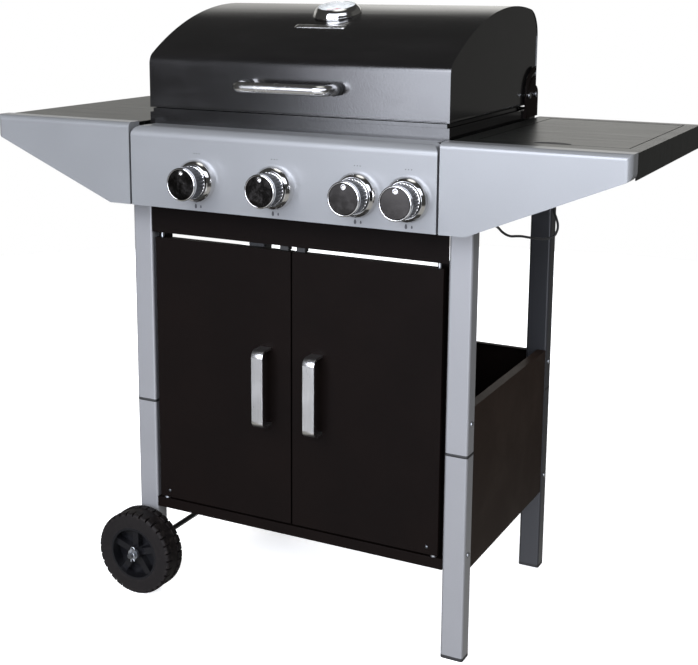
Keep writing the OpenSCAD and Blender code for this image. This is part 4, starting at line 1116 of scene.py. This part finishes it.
class GRILL_OT_stage(GrillOperator):
    """Lay the pale floor and set the studio light"""

    bl_idname = "grill.stage"
    bl_label = "Floor and studio"

    def build(self, scene):
        studio = scene.grill_studio
        self.floor(studio)
        scene.world = self.surroundings(studio)
        light("key", (-1.3, -2.6, 2.7), (0, 0, 0.6), (1.6, 1.2), studio.key_power)
        light("fill", (2.6, -1.2, 1.6), (0.1, 0, 0.5), (1.2, 1.8), studio.fill_power)
        light("rear", (-1.8, 2.2, 2.2), (0, 0, 0.7), (1.4, 1.4), studio.rear_power)
        scene.view_settings.view_transform = "Standard"

    def floor(self, studio):
        """A pale disc that glows a little towards the camera."""
        bm = bmesh.new()
        bmesh.ops.create_circle(bm, cap_ends=True, radius=studio.floor_r, segments=96)
        mesh = bpy.data.meshes.new("floor")
        bm.to_mesh(mesh)
        bm.free()
        material, f = surface("pale_floor", {"Specular IOR Level": 0.2})
        f.colour(f.mix(f.noise(3, 3), (0.93, 0.93, 0.93), (0.97, 0.97, 0.97)))
        f.rough(0.7 + 0.1 * f.noise(40, 2))
        f.to["Emission Color"].default_value = (1, 1, 1, 1)
        f.to["Emission Strength"].default_value = studio.floor_glow
        mesh.materials.append(material)
        floor = place("floor", mesh)
        floor.visible_diffuse = False
        floor.visible_glossy = False

    def surroundings(self, studio):
        """A white background, and soft cards that only the object sees."""
        world = bpy.data.worlds.new("studio")
        world.use_nodes = True
        world.node_tree.nodes.clear()
        f = Finish(world.node_tree)
        x, y, z = f.axes(f.add("TexCoord", {}, {}).outputs["Generated"])
        turn = Num(f, f.add("Math", {"operation": "ARCTAN2"}, {0: x, 1: y}).outputs[0])
        rise = Num(f, f.add("Math", {"operation": "ARCSINE"}, {0: z}).outputs[0])
        front = Num(f, f.add("Math", {"operation": "ARCTAN2"}, {0: x, 1: 0 - y}).outputs[0])

        def card(angle, a0, a1, e0, e1, soft_a, soft_e):
            """A card from a0 to a1 degrees of turn and from e0 to e1 of rise, with soft edges."""
            r = math.radians
            sides = angle.ease(r(a0 - soft_a), r(a0)) * (1 - angle.ease(r(a1), r(a1 + soft_a)))
            return sides * rise.ease(r(e0 - soft_e), r(e0)) * (1 - rise.ease(r(e1), r(e1 + soft_e)))

        front_glow = studio.front_card * card(front, -24, 24, -6, 34, 5, 5)
        front_glow = front_glow + studio.strip_card * card(front, -20, 60, 22, 38, 12, 8)
        front_glow = front_glow + studio.low_card * card(front, -20, 42, -40, -12, 10, 6)
        rest_glow = studio.back_card * card(turn, -70, -8, -8, 16, 7, 14)
        rest_glow = rest_glow + studio.rear_card * card(turn, -24, -8, -8, 14, 7, 12)
        rest_glow = rest_glow + studio.side_card * card(turn, 10, 75, -22, 30, 12, 14)
        rest_glow = rest_glow + studio.roof_card * rise.ease(math.radians(70), math.radians(82))
        low_ring = rise.ease(math.radians(-62), math.radians(-55))
        low_ring = low_ring * (1 - rise.ease(math.radians(-28), math.radians(-20)))
        rest_glow = rest_glow + studio.ring_card * low_ring
        tint = f.mix(front_glow.ease(0, 1), (1.0, 0.99, 0.95), (0.90, 0.94, 1.06))
        glow = studio.ambient + front_glow + rest_glow
        shine = f.add("Background", {}, {"Color": tint, "Strength": glow})
        plain = f.add("Background", {}, {"Color": (1, 1, 1, 1), "Strength": studio.backdrop})
        seen = f.add("LightPath", {}, {}).outputs["Is Camera Ray"]
        both = f.add("MixShader", {}, {0: seen, 1: shine.outputs[0], 2: plain.outputs[0]})
        f.add("OutputWorld", {}, {"Surface": both.outputs[0]})
        return world


STEPS = (
    "camera", "lead", "finishes", "thermometer", "badge", "hem", "box_lip", "jambs", "bands", "finger_grip",
    "panel_marks", "fasteners", "edges", "stage",
)


class GRILL_PT_panel(bpy.types.Panel):
    """Lists the grill's steps and their settings"""

    bl_idname = "GRILL_PT_panel"
    bl_label = "Gas grill"
    bl_space_type = "VIEW_3D"
    bl_region_type = "UI"
    bl_category = "Grill"

    def draw(self, context):
        for step in STEPS:
            self.layout.operator("grill." + step)
        for group in GROUPS:
            box = self.layout.box()
            settings = getattr(context.scene, group)
            for key in settings.__annotations__:
                box.prop(settings, key)


CLASSES = (
    GrillColours, GrillTrim, GrillStudio, GRILL_OT_camera, GRILL_OT_lead, GRILL_OT_finishes,
    GRILL_OT_thermometer, GRILL_OT_badge, GRILL_OT_hem, GRILL_OT_box_lip, GRILL_OT_jambs, GRILL_OT_bands,
    GRILL_OT_notch_shade, GRILL_OT_panel_marks, GRILL_OT_fasteners, GRILL_OT_edges, GRILL_OT_stage,
    GRILL_PT_panel,
)


GROUPS = {"grill_colours": GrillColours, "grill_trim": GrillTrim, "grill_studio": GrillStudio}


def register():
    for cls in CLASSES:
        bpy.utils.register_class(cls)
    for group, cls in GROUPS.items():
        setattr(bpy.types.Scene, group, bpy.props.PointerProperty(type=cls))


def unregister():
    for group in GROUPS:
        delattr(bpy.types.Scene, group)
    for cls in reversed(CLASSES):
        bpy.utils.unregister_class(cls)


def main():
    register()
    for step in STEPS:
        getattr(bpy.ops.grill, step)()


if __name__ == "__main__":
    main()
